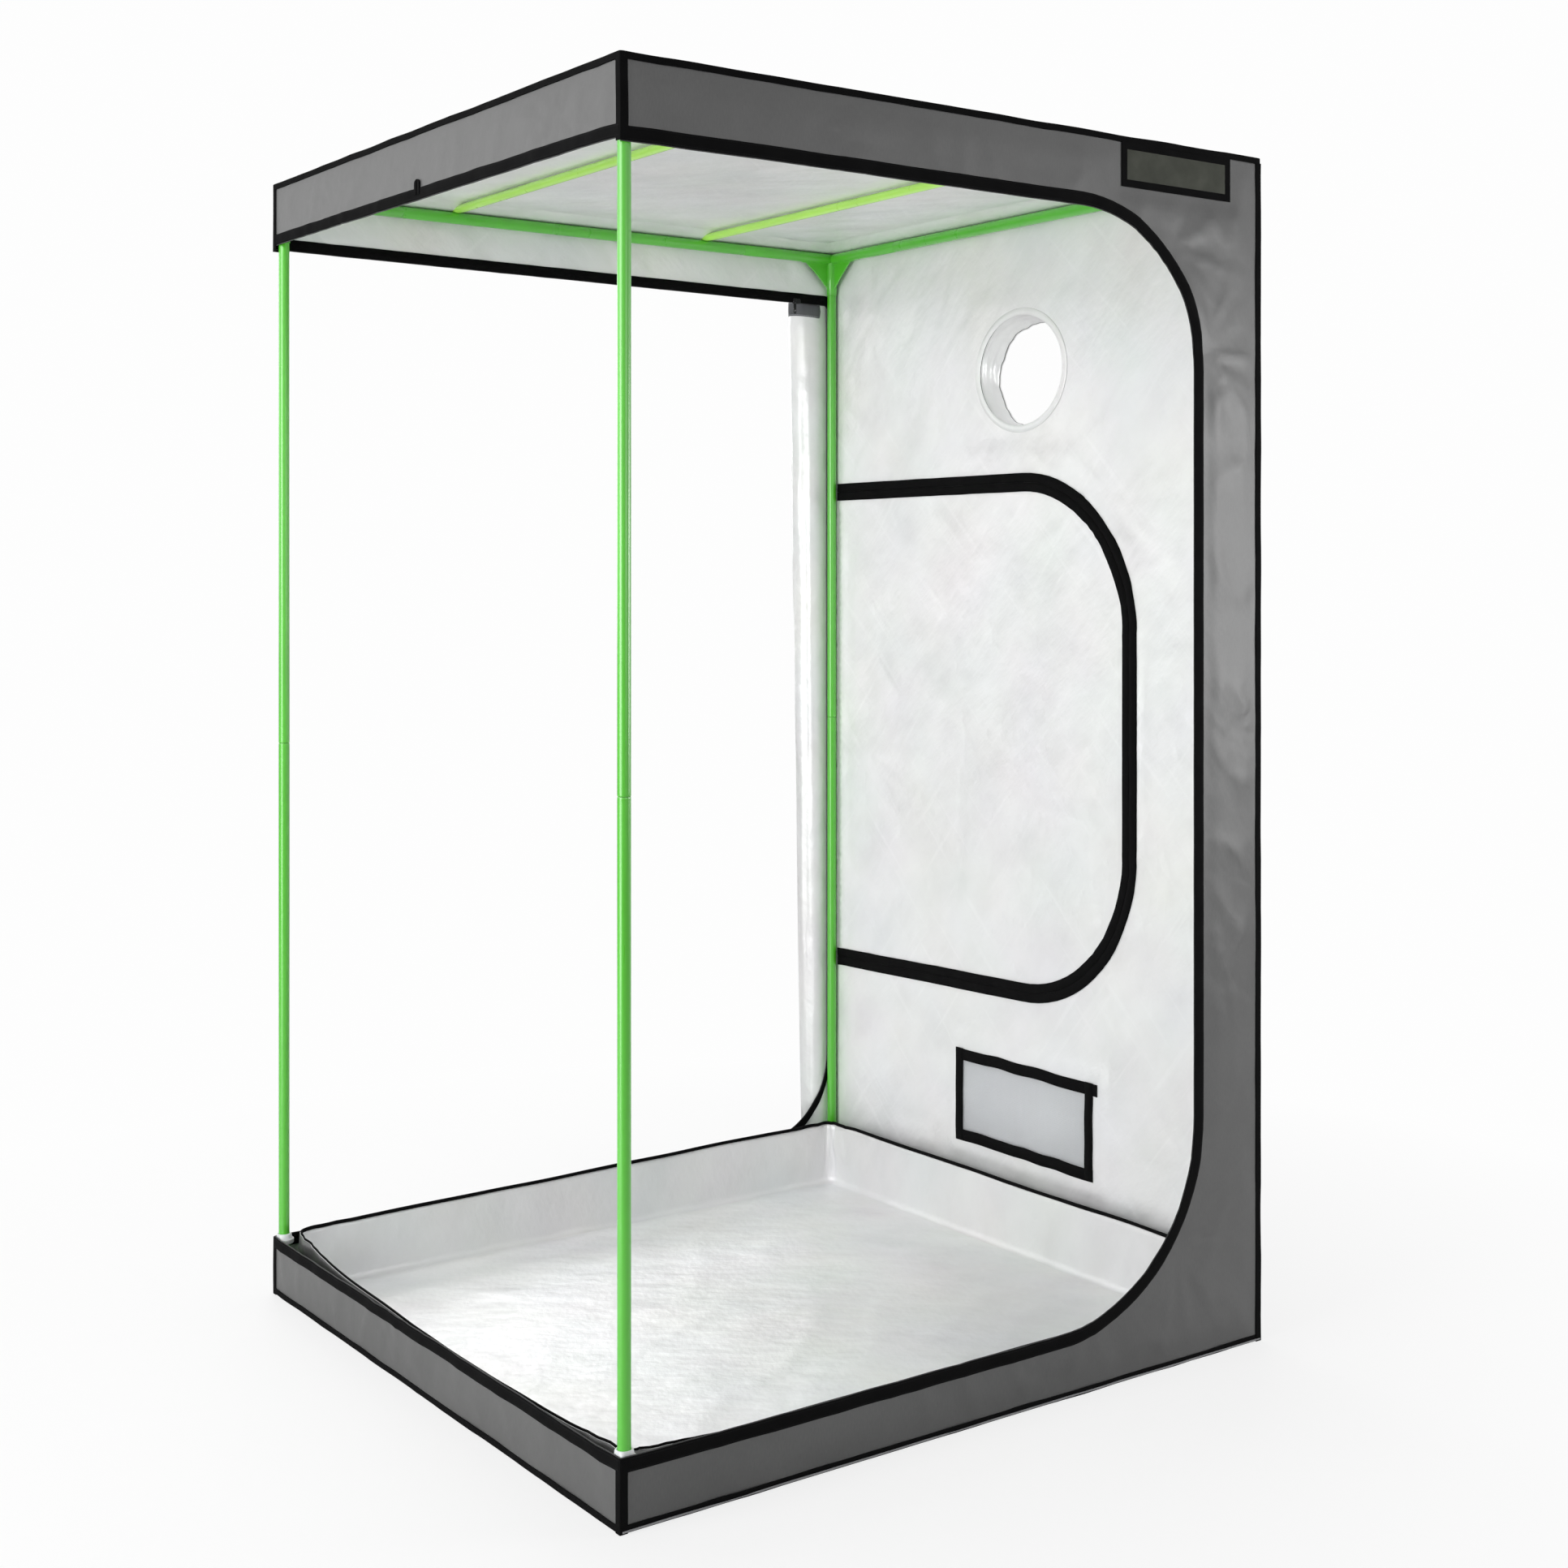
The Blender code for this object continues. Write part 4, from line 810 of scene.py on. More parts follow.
def bracket(end, edge, low, high, top_radius, bottom_radius):
    """A door edge: from its end along the top, round to the upright edge, and back along the bottom."""
    side = math.copysign(1, edge - end)
    upright = 0 if side > 0 else 180
    below = -90 if side > 0 else 270
    return ([(end, high)] + arc((edge - side * top_radius, high - top_radius), top_radius, 90, upright)
            + arc((edge - side * bottom_radius, low + bottom_radius), bottom_radius, upright, below) + [(end, low)])


def grown(opening, level, upright):
    """A door edge moved outward: by one width at its top and bottom, by another at its upright."""
    end, edge, low, high, top_radius, bottom_radius = opening
    side = math.copysign(1, edge - end)
    return bracket(end, edge + side * upright, low - level, high + level, top_radius + upright, bottom_radius + upright)


def leaning(path, lean, upper=True):
    """A door edge whose upper or lower run rises or falls along its wall."""
    places, rises = zip(*lean)
    levels = [v for _, v in path]
    halfway = (min(levels) + max(levels)) / 2
    return [(u, v + float(np.interp(u, places, rises)) * ((v > halfway) == upper)) for u, v in path]


def area_of(loops):
    total = 0
    for number, loop in enumerate(loops):
        a = np.asarray(loop)
        b = np.roll(a, -1, axis=0)
        size = abs((a[:, 0] * b[:, 1] - b[:, 0] * a[:, 1]).sum() / 2)
        total += size if number == 0 else -size
    return total


# The steel frame

WEB_ALONG, WEB_UP, WEB_CURVE_SHARE, WEB_THICK, WEB_ROUND, WEB_STEPS = 0.085, 0.078, 0.42, 0.003, 0.0011, 17
BEAD, BEAD_RIPPLE, BEAD_START, BEAD_END, BEAD_STEPS = 0.0011, 0.12, 1.2, 0.93, 24
# A connector's arm: shares of the radius at its root, then distances in from its skin and its end
ARM_ROOT = ((0, -0.98), (0.55, -0.9), (0.9, -0.5), (1, 0))
ARM_LIP = ((0, 0.004), (0.0006, 0.0034), (0.0006, 0.0022), (0, 0.0016), (0.0004, 0), (0.0012, 0), (0.0012, 0.002))
SADDLE_END, SADDLE_FREE, SADDLE_PRESSED, SADDLE_PRESS, SADDLE_STEPS, CROSSBAR_SIDES = 0.06, 0.045, 0.02, 0.15, 13, 32
COLLAR_SOFT, COLLAR_SLOPE, COLLAR_NECK, COLLAR_LIP, COLLAR_HEIGHTS = 0.0015, 0.003, 0.004, 0.0005, (0.45, 0.6)


def web_outline():
    """The hollow edge of a gusset, in its own plane."""
    points = [(0, 0)]
    for share in np.linspace(0, 1, WEB_STEPS):
        hollow = 2 * share * (1 - share) * WEB_CURVE_SHARE
        points.append((WEB_ALONG * ((1 - share) ** 2 + hollow), WEB_UP * (share ** 2 + hollow)))
    return points


def connector(name, corner, height, upward):
    """A three-armed corner with its gussets, weld beads and the rings where the tubes slide on."""
    side_x, side_y = CORNERS[corner]
    hub = Vector((side_x * POLE, side_y * POLE, height))
    ways = [Vector((-side_x, 0, 0)), Vector((0, -side_y, 0)), Vector((0, 0, upward))]
    parts = []
    for i, (way, length) in enumerate(zip(ways, (POLE - BAR_END, POLE - BAR_END, POLE_LOW - BOTTOM_BAR))):
        profile = [(BAR_RADIUS * r, BAR_RADIUS * d) for r, d in ARM_ROOT] + [(BAR_RADIUS, length / 2)]
        profile += [(BAR_RADIUS - r, length - d) for r, d in ARM_LIP] + [(0, length - ARM_LIP[-1][1])]
        parts.append(turned(f"{name}_arm_{i}", profile, GREEN, hub, way, wrap_profile=False, sharp=ARM_SHARP))
    for i, way in enumerate(ways[:2]):
        upright = ways[2]
        third = way.cross(upright)
        parts.append(plate(f"{name}_web_{i}", [web_outline()], WEB_THICK, GREEN, WEB_ROUND,
                           stand(way, upright, third, hub)))
        for off in (-third * WEB_THICK / 2, third * WEB_THICK / 2):
            for first, second, reach in ((way, upright, WEB_ALONG), (upright, way, WEB_UP)):
                start = hub + off + first * BAR_RADIUS * BEAD_START + second * BAR_RADIUS
                end = hub + off + first * reach * BEAD_END + second * BAR_RADIUS
                parts.append(weld(f"{name}_bead_{i}", [start.lerp(end, t) for t in np.linspace(0, 1, BEAD_STEPS)]))
    place(joined(f"{name}_dressed", parts), "tent", [name], "green_tube")


def weld(name, path):
    """A thin weld bead with its ripples."""
    run = (path[-1] - path[0]).normalized()
    across = run.orthogonal().normalized()
    rows = []
    for i, point in enumerate(path):
        radius = BEAD * smooth(min(i, len(path) - 1 - i), -1, 3) * (1 + BEAD_RIPPLE * (i % 2))
        rows.append(ring_at(point, across, run.cross(across), radius))
    return skin(name, rows, [GREEN], wrap=True, caps=True)


def build_frame():
    for corner, (side_x, side_y) in CORNERS.items():
        connector(f"{corner}_bottom_connector", corner, BOTTOM_BAR, 1)
        connector(f"{corner}_top_connector", corner, TOP_BAR, -1)
        foot = Vector((side_x * POLE, side_y * POLE, 0))
        tube(f"{corner}_pole_lower", foot + Z * POLE_LOW, foot + Z * (POLE_JOINT - 2 * FIT), POLE_RADIUS)
        tube(f"{corner}_pole_upper", foot + Z * POLE_JOINT, foot + Z * POLE_HIGH, POLE_RADIUS)
        collar(corner, foot)
    for level, height in (("top", TOP_BAR), ("bottom", BOTTOM_BAR)):
        for side in ("front", "back", "left", "right"):
            along, _, outward, _ = WALLS[side]
            centre = outward * POLE + Z * height
            tube(f"{side}_{level}_bar", centre - along * BAR_END, centre + along * BAR_END, BAR_RADIUS)
    for name in ("crossbar_left", "crossbar_right"):
        crossbar(name)


def crossbar(name):
    """A bar under the roof with flattened ends that saddle the front and back top bars."""
    low, high = low_high(name)
    centre, radius = (low + high) / 2, (high.x - low.x) / 2
    stations = np.concatenate([np.linspace(low.y, low.y + SADDLE_END, SADDLE_STEPS),
                               np.linspace(high.y - SADDLE_END, high.y, SADDLE_STEPS)])
    rows = []
    for y in stations:
        press = 1 - SADDLE_PRESS * smooth(min(y - low.y, high.y - y), SADDLE_FREE, SADDLE_PRESSED)
        under = low_of_saddle(y)
        rows.append([(centre.x + radius * math.cos(a), y, max(centre.z + radius * math.sin(a) * press, under))
                     for a in around(CROSSBAR_SIDES)])
    bar = skin(f"{name}_dressed", rows, [LIME], wrap=True, caps=True)
    place(bar, name, [name], "lime_tube")


def low_of_saddle(y):
    """The lowest that a crossbar may reach at a place along it, over the round top bars."""
    away, reach = min(abs(y - POLE), abs(y + POLE)), BAR_RADIUS + FIT
    return TOP_BAR + math.sqrt(reach * reach - away * away) if away < reach else 0.0


def collar(corner, foot):
    """A white plastic ring at a pole's foot, flattened where it lies against the bands."""
    low, high = low_high(f"{corner}_pole_collar")
    tall = high.z - low.z
    outer = POLE - low.x if foot.x > 0 else high.x + POLE
    neck, bore = outer - COLLAR_NECK, POLE_RADIUS + FIT
    profile = [(bore, 0), (outer - COLLAR_SOFT, 0), (outer, COLLAR_SOFT), (outer, tall * COLLAR_HEIGHTS[0]),
               (outer - COLLAR_SLOPE, tall * COLLAR_HEIGHTS[1]), (neck, tall - COLLAR_SOFT), (neck - COLLAR_SOFT, tall),
               (bore + COLLAR_LIP, tall), (bore, tall - COLLAR_LIP)]
    ring = turned(f"{corner}_collar_dressed", profile, WHITE, foot + Z * low.z, Z)
    for vertex in ring.data.vertices:
        vertex.co.x = max(-INNER, min(INNER, vertex.co.x))
        vertex.co.y = max(-INNER, min(INNER, vertex.co.y))
    place(ring, "tent", [f"{corner}_pole_collar"], "white_plastic")


# The cloth shell

COIL_IN, COIL_OUT, COIL_DEPTHS, LEFT_WANDER = 0.0016, 0.0004, (0.9, 0.1), 0.0009
PANEL_FLAT_SHARE, SHUT_GAP, SHUT_COIL, PORT_SIDES = 0.98, 0.0002, 0.0014, 72
# The half door's tape lies in two layers, outside and inside the cloth
SHUT_LAYERS = (("outer", -CLOTH - 0.0002, TAPE_PROUD), ("inner", -CLOTH - 0.0022, -CLOTH - 0.0012))
# The roof lining's slope down to the top bars: distances inside, heights are worked out from the bars
DRAPE_REACH, DRAPE_BLEND, DRAPE_POINTS = (2.2, 4), 3, 16


def zip_edge(name, wall, path, width, way=1, share=1.0, wander=TAPE_WANDER):
    """The tape and the coil along an edge of the big door."""
    tape = strip(f"{name}_zip_tape_sewn", wall, path, *sorted((0, way * width)), -CLOTH - TAPE_INSIDE, TAPE_PROUD,
                 BLACK, wander=wander, upright=share)
    place(tape, "tent", [f"{name}_zip_tape"], "black_tape")
    bead = strip(f"{name}_zip_coil", wall, path, *sorted((-way * COIL_IN, way * COIL_OUT)), -CLOTH * COIL_DEPTHS[0],
                 -CLOTH * COIL_DEPTHS[1], COIL, wander=COIL_WANDER)
    return [tape, place(bead, "tent")]


def door_level(side, upper):
    """The height of the big door's upper or lower edge on a side."""
    low, high = low_high(f"{side}_zip_tape")
    return high.z - DOOR_TAPE if upper else low.z + DOOR_TAPE


def build_face(side, share, corners, lean):
    """A front or back panel with its door opening, edged with zip tape, narrower at its upright by a share."""
    edge = low_high(f"{side}_zip_tape")[1].x - DOOR_TAPE * share
    opening = (-HALF + FIT, edge, door_level(side, False), door_level(side, True), *corners)
    covered = leaning(grown(opening, UNDER_TAPE, UNDER_TAPE * share), lean)
    loop = covered + [(-HALF + FIT, HEM_UP), (HALF - FIT, HEM_UP), (HALF - FIT, ROOF), (-HALF + FIT, ROOF)]
    panel = place(sheet_on_wall(f"{side}_cloth", side, [loop]), "tent", [f"{side}_panel"], "grey_cloth")
    sewn = zip_edge(side, side, leaning(bracket(*opening), lean), DOOR_TAPE, share=share)
    area, band = area_of([loop]), (2 * HALF - edge) / 4
    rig.sheet(panel, flat=(band, area / band), held="stretched", rests_on=[f"{side}_top_bar"],
             area=area * PANEL_FLAT_SHARE, with_pieces=sewn)


def build_left():
    for level, way in (("top", 1), ("bottom", -1)):
        edge = low_high(f"left_{level}_zip_tape")[way < 0].z
        bottom, top = sorted((edge + way * UNDER_TAPE, ROOF if way > 0 else HEM_UP))
        rise = LEFT_RISE if way > 0 else 0
        loop = [(-INNER, bottom), (INNER, bottom + rise), (INNER, top), (-INNER, top)]
        band = place(sheet_on_wall(f"left_{level}_cloth", "left", [loop]), "tent", [f"left_{level}_band"], "grey_cloth")
        path = [(-INNER, edge), (INNER, edge + rise)]
        sewn = zip_edge(f"left_{level}", "left", path, LEFT_TAPE, way, wander=LEFT_WANDER)
        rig.sheet(band, flat=(top - bottom, 2 * INNER), held="stretched", rests_on=[f"left_{level}_bar"],
                 with_pieces=sewn)


def half_door_path(offset):
    opening = (HINGE, HALF_DOOR_LOW.y + HALF_TAPE, HALF_DOOR_LOW.z + HALF_TAPE, HALF_DOOR_HIGH.z - HALF_TAPE)
    return leaning(grown((*opening, *HALF_DOOR_CORNERS), offset, offset), DOOR_LEAN, upper=False)


def port_ring(count):
    return [(math.cos(a) * PORT_HALF_WIDE, PORT_HEIGHT + math.sin(a) * PORT_HALF_TALL) for a in around(count)]


def vent_window(grow):
    side, level = VENT_SIDE - grow, VENT_TOP_TAPE - grow
    return rectangle(VENT_LOW.y + side, VENT_LOW.z + level, VENT_HIGH.y - side, VENT_HIGH.z - level)


def build_right():
    """The solid wall with its half door, port and vent."""
    loops = [rectangle(-INNER, HEM_UP, INNER, ROOF), half_door_path(UNDER_TAPE), port_ring(PORT_SIDES),
             vent_window(VENT_HEM)]
    wall = place(sheet_on_wall("right_cloth", "right", loops), "tent", ["right_wall"], "silver_lining")
    shut = [(min(u, HINGE - FIT), v) for u, v in half_door_path(0)]
    sewn = {}
    for owner, body, tape_node, way in (("wall", "tent", "half_door_wall_tape", -1),
                                        ("door", "half_door", "half_door_tape", 1)):
        layers = [strip(f"half_door_{owner}_tape_{layer}", "right", shut, *sorted((way * SHUT_GAP, way * HALF_TAPE)),
                        inner, outer, BLACK) for layer, inner, outer in SHUT_LAYERS]
        tape = place(joined(f"{tape_node}_sewn", layers), body, [tape_node], "black_tape")
        bead = strip(f"half_door_coil_{owner}", "right", shut, *sorted((0.0, way * SHUT_COIL)), 0.0, SHUT_COIL, COIL,
                     wander=0)
        sewn[owner] = [tape, place(bead, body)]
    loop = [(min(u, HINGE - FIT), v) for u, v in half_door_path(-UNDER_TAPE)]
    door = place(sheet_on_wall("half_door_cloth", "right", [loop]), "half_door", ["half_door_panel"], "silver_lining")
    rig.sheet(door, flat=(HINGE - HALF_DOOR_LOW.y, HALF_DOOR_HIGH.z - HALF_DOOR_LOW.z), held="stretched",
             rests_on=["half_door_wall_tape_sewn"], area=area_of([loop]), with_pieces=sewn["door"])
    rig.sheet(wall, flat=(2 * INNER, ROOF), held="stretched", rests_on=["right_top_bar"], area=area_of(loops),
             with_pieces=sewn["wall"])


def build_roof_and_floor():
    square = rectangle(-INNER, -INNER, INNER, INNER)
    roof = place(sheet_on_wall("roof_cloth", "roof", [square], PANEL_STEP), "tent", ["roof_panel"], "grey_cloth")
    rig.sheet(roof, flat=(2 * INNER, 2 * INNER), held="stretched", rests_on=["crossbar_left", "crossbar_right"])
    ceiling, crest = ROOF - CLOTH, TOP_BAR + BAR_RADIUS + 3 * FIT
    profile = [(HALF - CLOTH - FIT, TOP_BAR + BAR_RADIUS / 2), (POLE + BAR_RADIUS, crest - 2 * FIT), (POLE, crest),
               (POLE - BAR_RADIUS, (3 * crest + ceiling) / 4),
               (POLE - DRAPE_REACH[0] * BAR_RADIUS, (crest + 3 * ceiling) / 4),
               (POLE - DRAPE_REACH[1] * BAR_RADIUS, ceiling - FIT)]
    under = []
    for number, (reach, height) in enumerate(profile):
        ring = evenly([(reach, reach), (-reach, reach), (-reach, -reach), (reach, -reach)], reach / DRAPE_POINTS)
        meets = (number / (len(profile) - 1)) ** DRAPE_BLEND
        under.append([Vector((u, v, height + meets * (fold("roof", u, v) + CLOTH / 2))) for u, v in ring])
    place(skin("roof_lining_drape", under, [FILM], wrap=True), "tent", (), "silver_lining")
    flat, faces = filled([square], FLOOR_STEP)
    points = [(u, v, CLOTH) for u, v in flat]
    ground = made_object("floor_cloth", points, faces.tolist(), flat[faces.ravel()], [FILM, GREY])
    place(thicken(ground, CLOTH * CLOTH_SHARE), "tent", ["floor_panel"], "silver_lining")
    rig.sheet(ground, flat=(2 * INNER, 2 * INNER), held="laid", rests_on=["floor"])


def rounded_square(half, radius, steps):
    points = []
    for quarter, (u, v) in enumerate(((1, 1), (-1, 1), (-1, -1), (1, -1))):
        points += arc((u * (half - radius), v * (half - radius)), radius, 90 * quarter, 90 * quarter + 90, steps)
    return points


# Bindings. BIND_ noises: how strong, and how many waves go into a metre of the edge.

BIND_WIDE, BIND_WANDER, BIND_PUFF = (0.10, 23), (0.0012, 11), (0.15, 40)
BIND_FULL, BIND_SOFT, BIND_TURN, BIND_HEM = 1.05, 0.0006, (20, 45, 70), 0.3
BIND_LOW, BIND_CORNER, BIND_CORNER_STEPS, BIND_STEP, FOOT_WANDER = 0.0004, 0.004, 3, 0.02, 0.0016
BIND_STITCH, FOOT_HEIGHT, PIPING_HEIGHT, PIPING_HALF, PIPING_PROUD = 0.002, 0.0026, 0.0036, 0.0013, 0.0012


def bias_tape(name, path, ways, widths, wander=BIND_WANDER[0], closed=False, seed=0.0):
    """Binding folded over an edge. ways gives, for each point, the two directions along the cloths."""
    rows, travelled = [], 0.0
    for i, point in enumerate(path):
        travelled += (point - path[i - 1]).length if i else 0
        first, second = ways[i]
        wide = [w * (1 + BIND_WIDE[0] * rough(travelled, k, (BIND_WIDE[1], 0, 0, 9.1), seed))
                for k, w in enumerate(widths)]
        sway = [wander * rough(travelled, 3.3 + k, (BIND_WANDER[1], 0, 0, 1), seed) for k in range(2)]
        puff = BINDING * (BIND_FULL + BIND_PUFF[0] * rough(travelled, 8, (BIND_PUFF[1], 0, 0, 1), seed))
        hem = -BINDING * BIND_HEM
        section = [(wide[0], hem), (wide[0] - BIND_SOFT, -BINDING), (wide[0] / 2, -puff), (BIND_SOFT, -puff)]
        section += [(-puff * math.sin(math.radians(a)), -puff * math.cos(math.radians(a))) for a in BIND_TURN]
        if widths[1] > 0:
            section += [(-puff, BIND_SOFT), (-puff, wide[1] / 2), (-BINDING, wide[1] - BIND_SOFT), (hem, wide[1])]
        section += [(0.0, max(wide[1], BIND_LOW)), (0.0, 0.0), (wide[0], 0.0)]
        origin = point + first * sway[0] + second * sway[1]
        rows.append([origin + first * a + second * b for a, b in section])
    half = len(section) // 2
    across = [min(abs(j), abs(2 * half - j)) * BIND_STITCH for j in range(len(section))]
    across[:3] = 0.0, 0.0, widths[0] / 2
    return skin(name, rows, [PLAIN_BLACK], wrap=True, loop=closed, caps=not closed, across=across)


def post(corner, low, high, seed):
    """The upright binding of a corner."""
    side_x, side_y = CORNERS[corner]
    path = [Vector((side_x * OUTSIDE, side_y * OUTSIDE, z))
            for z in np.linspace(low, high, max(4, int((high - low) / BIND_STEP)))]
    ways = [(Vector((-side_x, 0, 0)), Vector((0, -side_y, 0)))] * len(path)
    return bias_tape(f"{corner}_post", path, ways, (POST_BINDING - BINDING,) * 2, seed=seed)


def build_bindings():
    """The black binding round the roof and the floor, and down the upright seams."""
    loop = evenly(rounded_square(OUTSIDE, BIND_CORNER, BIND_CORNER_STEPS), BIND_STEP)
    inward = [Vector((*way, 0)) for way in normals_of(loop, True)]
    pieces = [bias_tape("roof_seam_binding", [Vector((*p, TOP - BINDING)) for p in loop], [(-Z, way) for way in inward],
                        (TOP_BINDING, TOP_BINDING), closed=True, seed=2.0)]
    for side, seed in (("front", 5.0), ("back", 6.0)):
        pieces.append(post(f"{side}_left", door_level(side, True), TOP - BINDING / 2, seed))
    place(joined("top_binding_sewn", pieces), "tent", ["top_edge_binding"], "black_tape")
    pieces = [bias_tape("floor_seam_binding", [Vector((*p, FOOT_HEIGHT)) for p in loop], [(Z, way) for way in inward],
                        (FOOT_BINDING, 0.0), wander=FOOT_WANDER, closed=True, seed=9.0)]
    for number, corner in enumerate(CORNERS):
        side, hand = corner.split("_")
        top = door_level(side, False) if hand == "left" else TOP - TOP_BINDING
        pieces.append(post(corner, low_high("bottom_edge_binding")[0].z, top, 20.0 + number))
    place(joined("bottom_binding_sewn", pieces), "tent", ["bottom_edge_binding"], "black_tape")
    line = [(-INNER, PIPING_HEIGHT), (INNER, PIPING_HEIGHT)]
    face = BINDING + PIPING_PROUD
    piping = strip("front_piping", "front", line, -PIPING_HALF, PIPING_HALF, BINDING / 2, face, PIPING)
    place(piping, "tent", (), "grey_strap")


# The rolled door

ROLL_TURNS, ROLL_CORE, ROLL_SIDES, ROLL_TAIL, ROLL_TAIL_STEPS = 27, 0.005, 40, 0.0186, 6
ROLL_TAPER, ROLL_SWELL, ROLL_THICK, ROLL_ROWS = 0.28, 0.006, 0.0007, 34
ROLL_NECK, ROLL_NECK_REACH, ROLL_BELOW_STRAP = 0.0032, 0.03, (0.02, 0.008)
# The roll's upright folds, its ragged ends, and where both begin
ROLL_BEND, ROLL_RIDGE, ROLL_RAGGED = 0.0034, 0.0042, 0.004
ROLL_FREE, ROLL_END_FREE, ROLL_LOOSE, ROLL_SEWN_SIDE, ROLL_HEAD_SHARE = (0.05, 0.12), (0.05, 0.02), 0.75, 0.55, 0.4
BEND_WAVES, BEND_RISE, RAGGED_WAVES, RAGGED_SEED = 2.3, 1.7, (31, 0, 0, 1), (2.2, 1.1)
RIDGE_WAVES, RIDGE_RISE, RIDGE_TWIST, RIDGE_SEED, RIDGE_EDGE = 5, 2.4, 0.18, 4, 4
STRAP_LIFT, STRAP_THICK, STRAP_TILT, STRAP_TURN, STRAP_PRESS, STRAP_SIDES = 0.003, 0.0018, 0.0045, 0.65, 0.0012, 64
STRAP_DENT, STRAP_SOFT, STRAP_EDGE, STRAP_CROWN = 0.0007, 0.0005, 0.001, 0.0003


def build_roll():
    """The big door wound up inside out, its last lap sewn to the back margin, with the strap round it."""
    centre = middle("door_roll_strap") + (Y - X) * ROLL_SWELL
    low, high = ROLL_LOW, ROLL_HIGH
    strap_low, strap_high = low_high("door_roll_strap")
    radius = centre.y - low.y - CLOTH / 2
    tail = centre.x + ROLL_SWELL + ROLL_TAIL
    strap_z = (strap_low.z + strap_high.z) / 2
    far, near = ROLL_BELOW_STRAP
    heights = np.concatenate([np.linspace(low.z, strap_low.z - far, ROLL_ROWS),
                              [strap_low.z - near, strap_low.z, strap_z, strap_high.z, high.z]])
    total = ROLL_TURNS * ROLL_SIDES
    rows = []
    for i in range(total + 1):
        t = i / total
        angle = math.radians(-90) - math.tau * ROLL_TURNS * (1 - t)
        row = []
        for z in heights:
            neck = ROLL_NECK * math.exp(-((z - strap_z) / ROLL_NECK_REACH) ** 4) * t
            point = roll_point(centre, ROLL_CORE + (radius - ROLL_CORE) * t - neck, angle, z, t)
            drawn = ROLL_TAPER * min(1.0, max(0.0, (strap_low.z - z) / (strap_low.z - low.z)))
            point.x += (centre.x - point.x) * drawn + radius * drawn
            point.y += (centre.y - point.y) * drawn - radius * drawn
            row.append(point)
        rows.append(row)
    end = rows[total]
    for share in np.linspace(0, 1, ROLL_TAIL_STEPS)[1:]:
        rows.append([Vector((p.x + (tail - p.x) * share, p.y, p.z)) for p in end])
    # The laps take the darker film, which is painted shade
    roll = thicken(skin("door_roll_cloth", rows, [GREY, SHADED_ROLL_FILM]), ROLL_THICK, 0.0)
    place(roll, "tent", ["door_roll"], "silver_lining")
    length = sum((after[0] - before[0]).length for before, after in zip(rows, rows[1:]))
    strap = strap_ring(centre, strap_low.z + STRAP_LIFT, high.z, strap_high.x - centre.x)
    place(strap, "tent", ["door_roll_strap"], "grey_strap")
    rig.sheet(roll, flat=(length, high.z - low.z), held="folded", rests_on=["back_cloth"], with_pieces=[strap])


def roll_point(centre, base, angle, z, t):
    """A point of the wound cloth, with the upright folds that deepen on its outer laps."""
    low, high = ROLL_LOW.z, ROLL_HIGH.z
    c, s = math.cos(angle), math.sin(angle)
    loose = smooth(t, ROLL_LOOSE, 1.0) * smooth(-s, 1.0, ROLL_SEWN_SIDE) * smooth(high - z, *ROLL_FREE)
    slack = ROLL_BEND * swell(c, s, BEND_WAVES, z * BEND_RISE)
    slack += ROLL_RIDGE * ridge(RIDGE_EDGE, c + z * RIDGE_TWIST, s, RIDGE_WAVES, z * RIDGE_RISE + RIDGE_SEED)
    radius = base - loose * slack
    ragged = ROLL_RAGGED * t * rough(t, RAGGED_SEED[0], RAGGED_WAVES, RAGGED_SEED[1])
    foot, head = ROLL_END_FREE
    ends = smooth(z, low + foot, low) * -ragged - smooth(z, high - head, high) * abs(ragged) * ROLL_HEAD_SHARE
    return Vector((centre.x + radius * c, centre.y + radius * s, z + max(0, ends)))


def strap_ring(centre, low, high, radius):
    """The webbing loop that ties the roll, pulled a little out of level."""
    rows = []
    for a in around(STRAP_SIDES):
        spoke = Vector((math.cos(a), math.sin(a), 0))
        tilt = -STRAP_TILT * math.cos(a + STRAP_TURN)
        outer = radius - STRAP_PRESS + STRAP_DENT * rough(spoke.x, spoke.y, 2, 5)
        inner, soft, halfway = outer - STRAP_THICK, outer - STRAP_SOFT, (low + high) / 2
        section = [(inner, low), (soft, low), (outer, low + STRAP_EDGE), (outer + STRAP_CROWN, halfway),
                   (outer, high - STRAP_EDGE), (soft, high), (inner, high), (inner, halfway)]
        rows.append([Vector((centre.x, centre.y, z + tilt)) + spoke * r for r, z in section])
    middle_of, edge = 0.015, STRAP_EDGE
    return skin("door_roll_strap_webbing", rows, [STRAP], wrap=True, loop=True,
                across=[0, 0, edge, middle_of, edge, 0, 0, middle_of])


# The duct sleeve. Its flange and its mouth: how far out of the wall, and how much wider than the port.

SLEEVE_LENGTH, SLEEVE_START, SLEEVE_ROWS, SLEEVE_SIDES, SLEEVE_THICK, HEM_RING = 0.050, 0.004, 14, 112, 0.0009, 90
SLEEVE_FLANGE = ((0.0014, 0.0115), (0.0014, 0.006), (0.0016, 0.0012), (SLEEVE_START, 0.0006))
SLEEVE_MOUTH = ((0.004, 0.0005), (0.001, -0.0005))
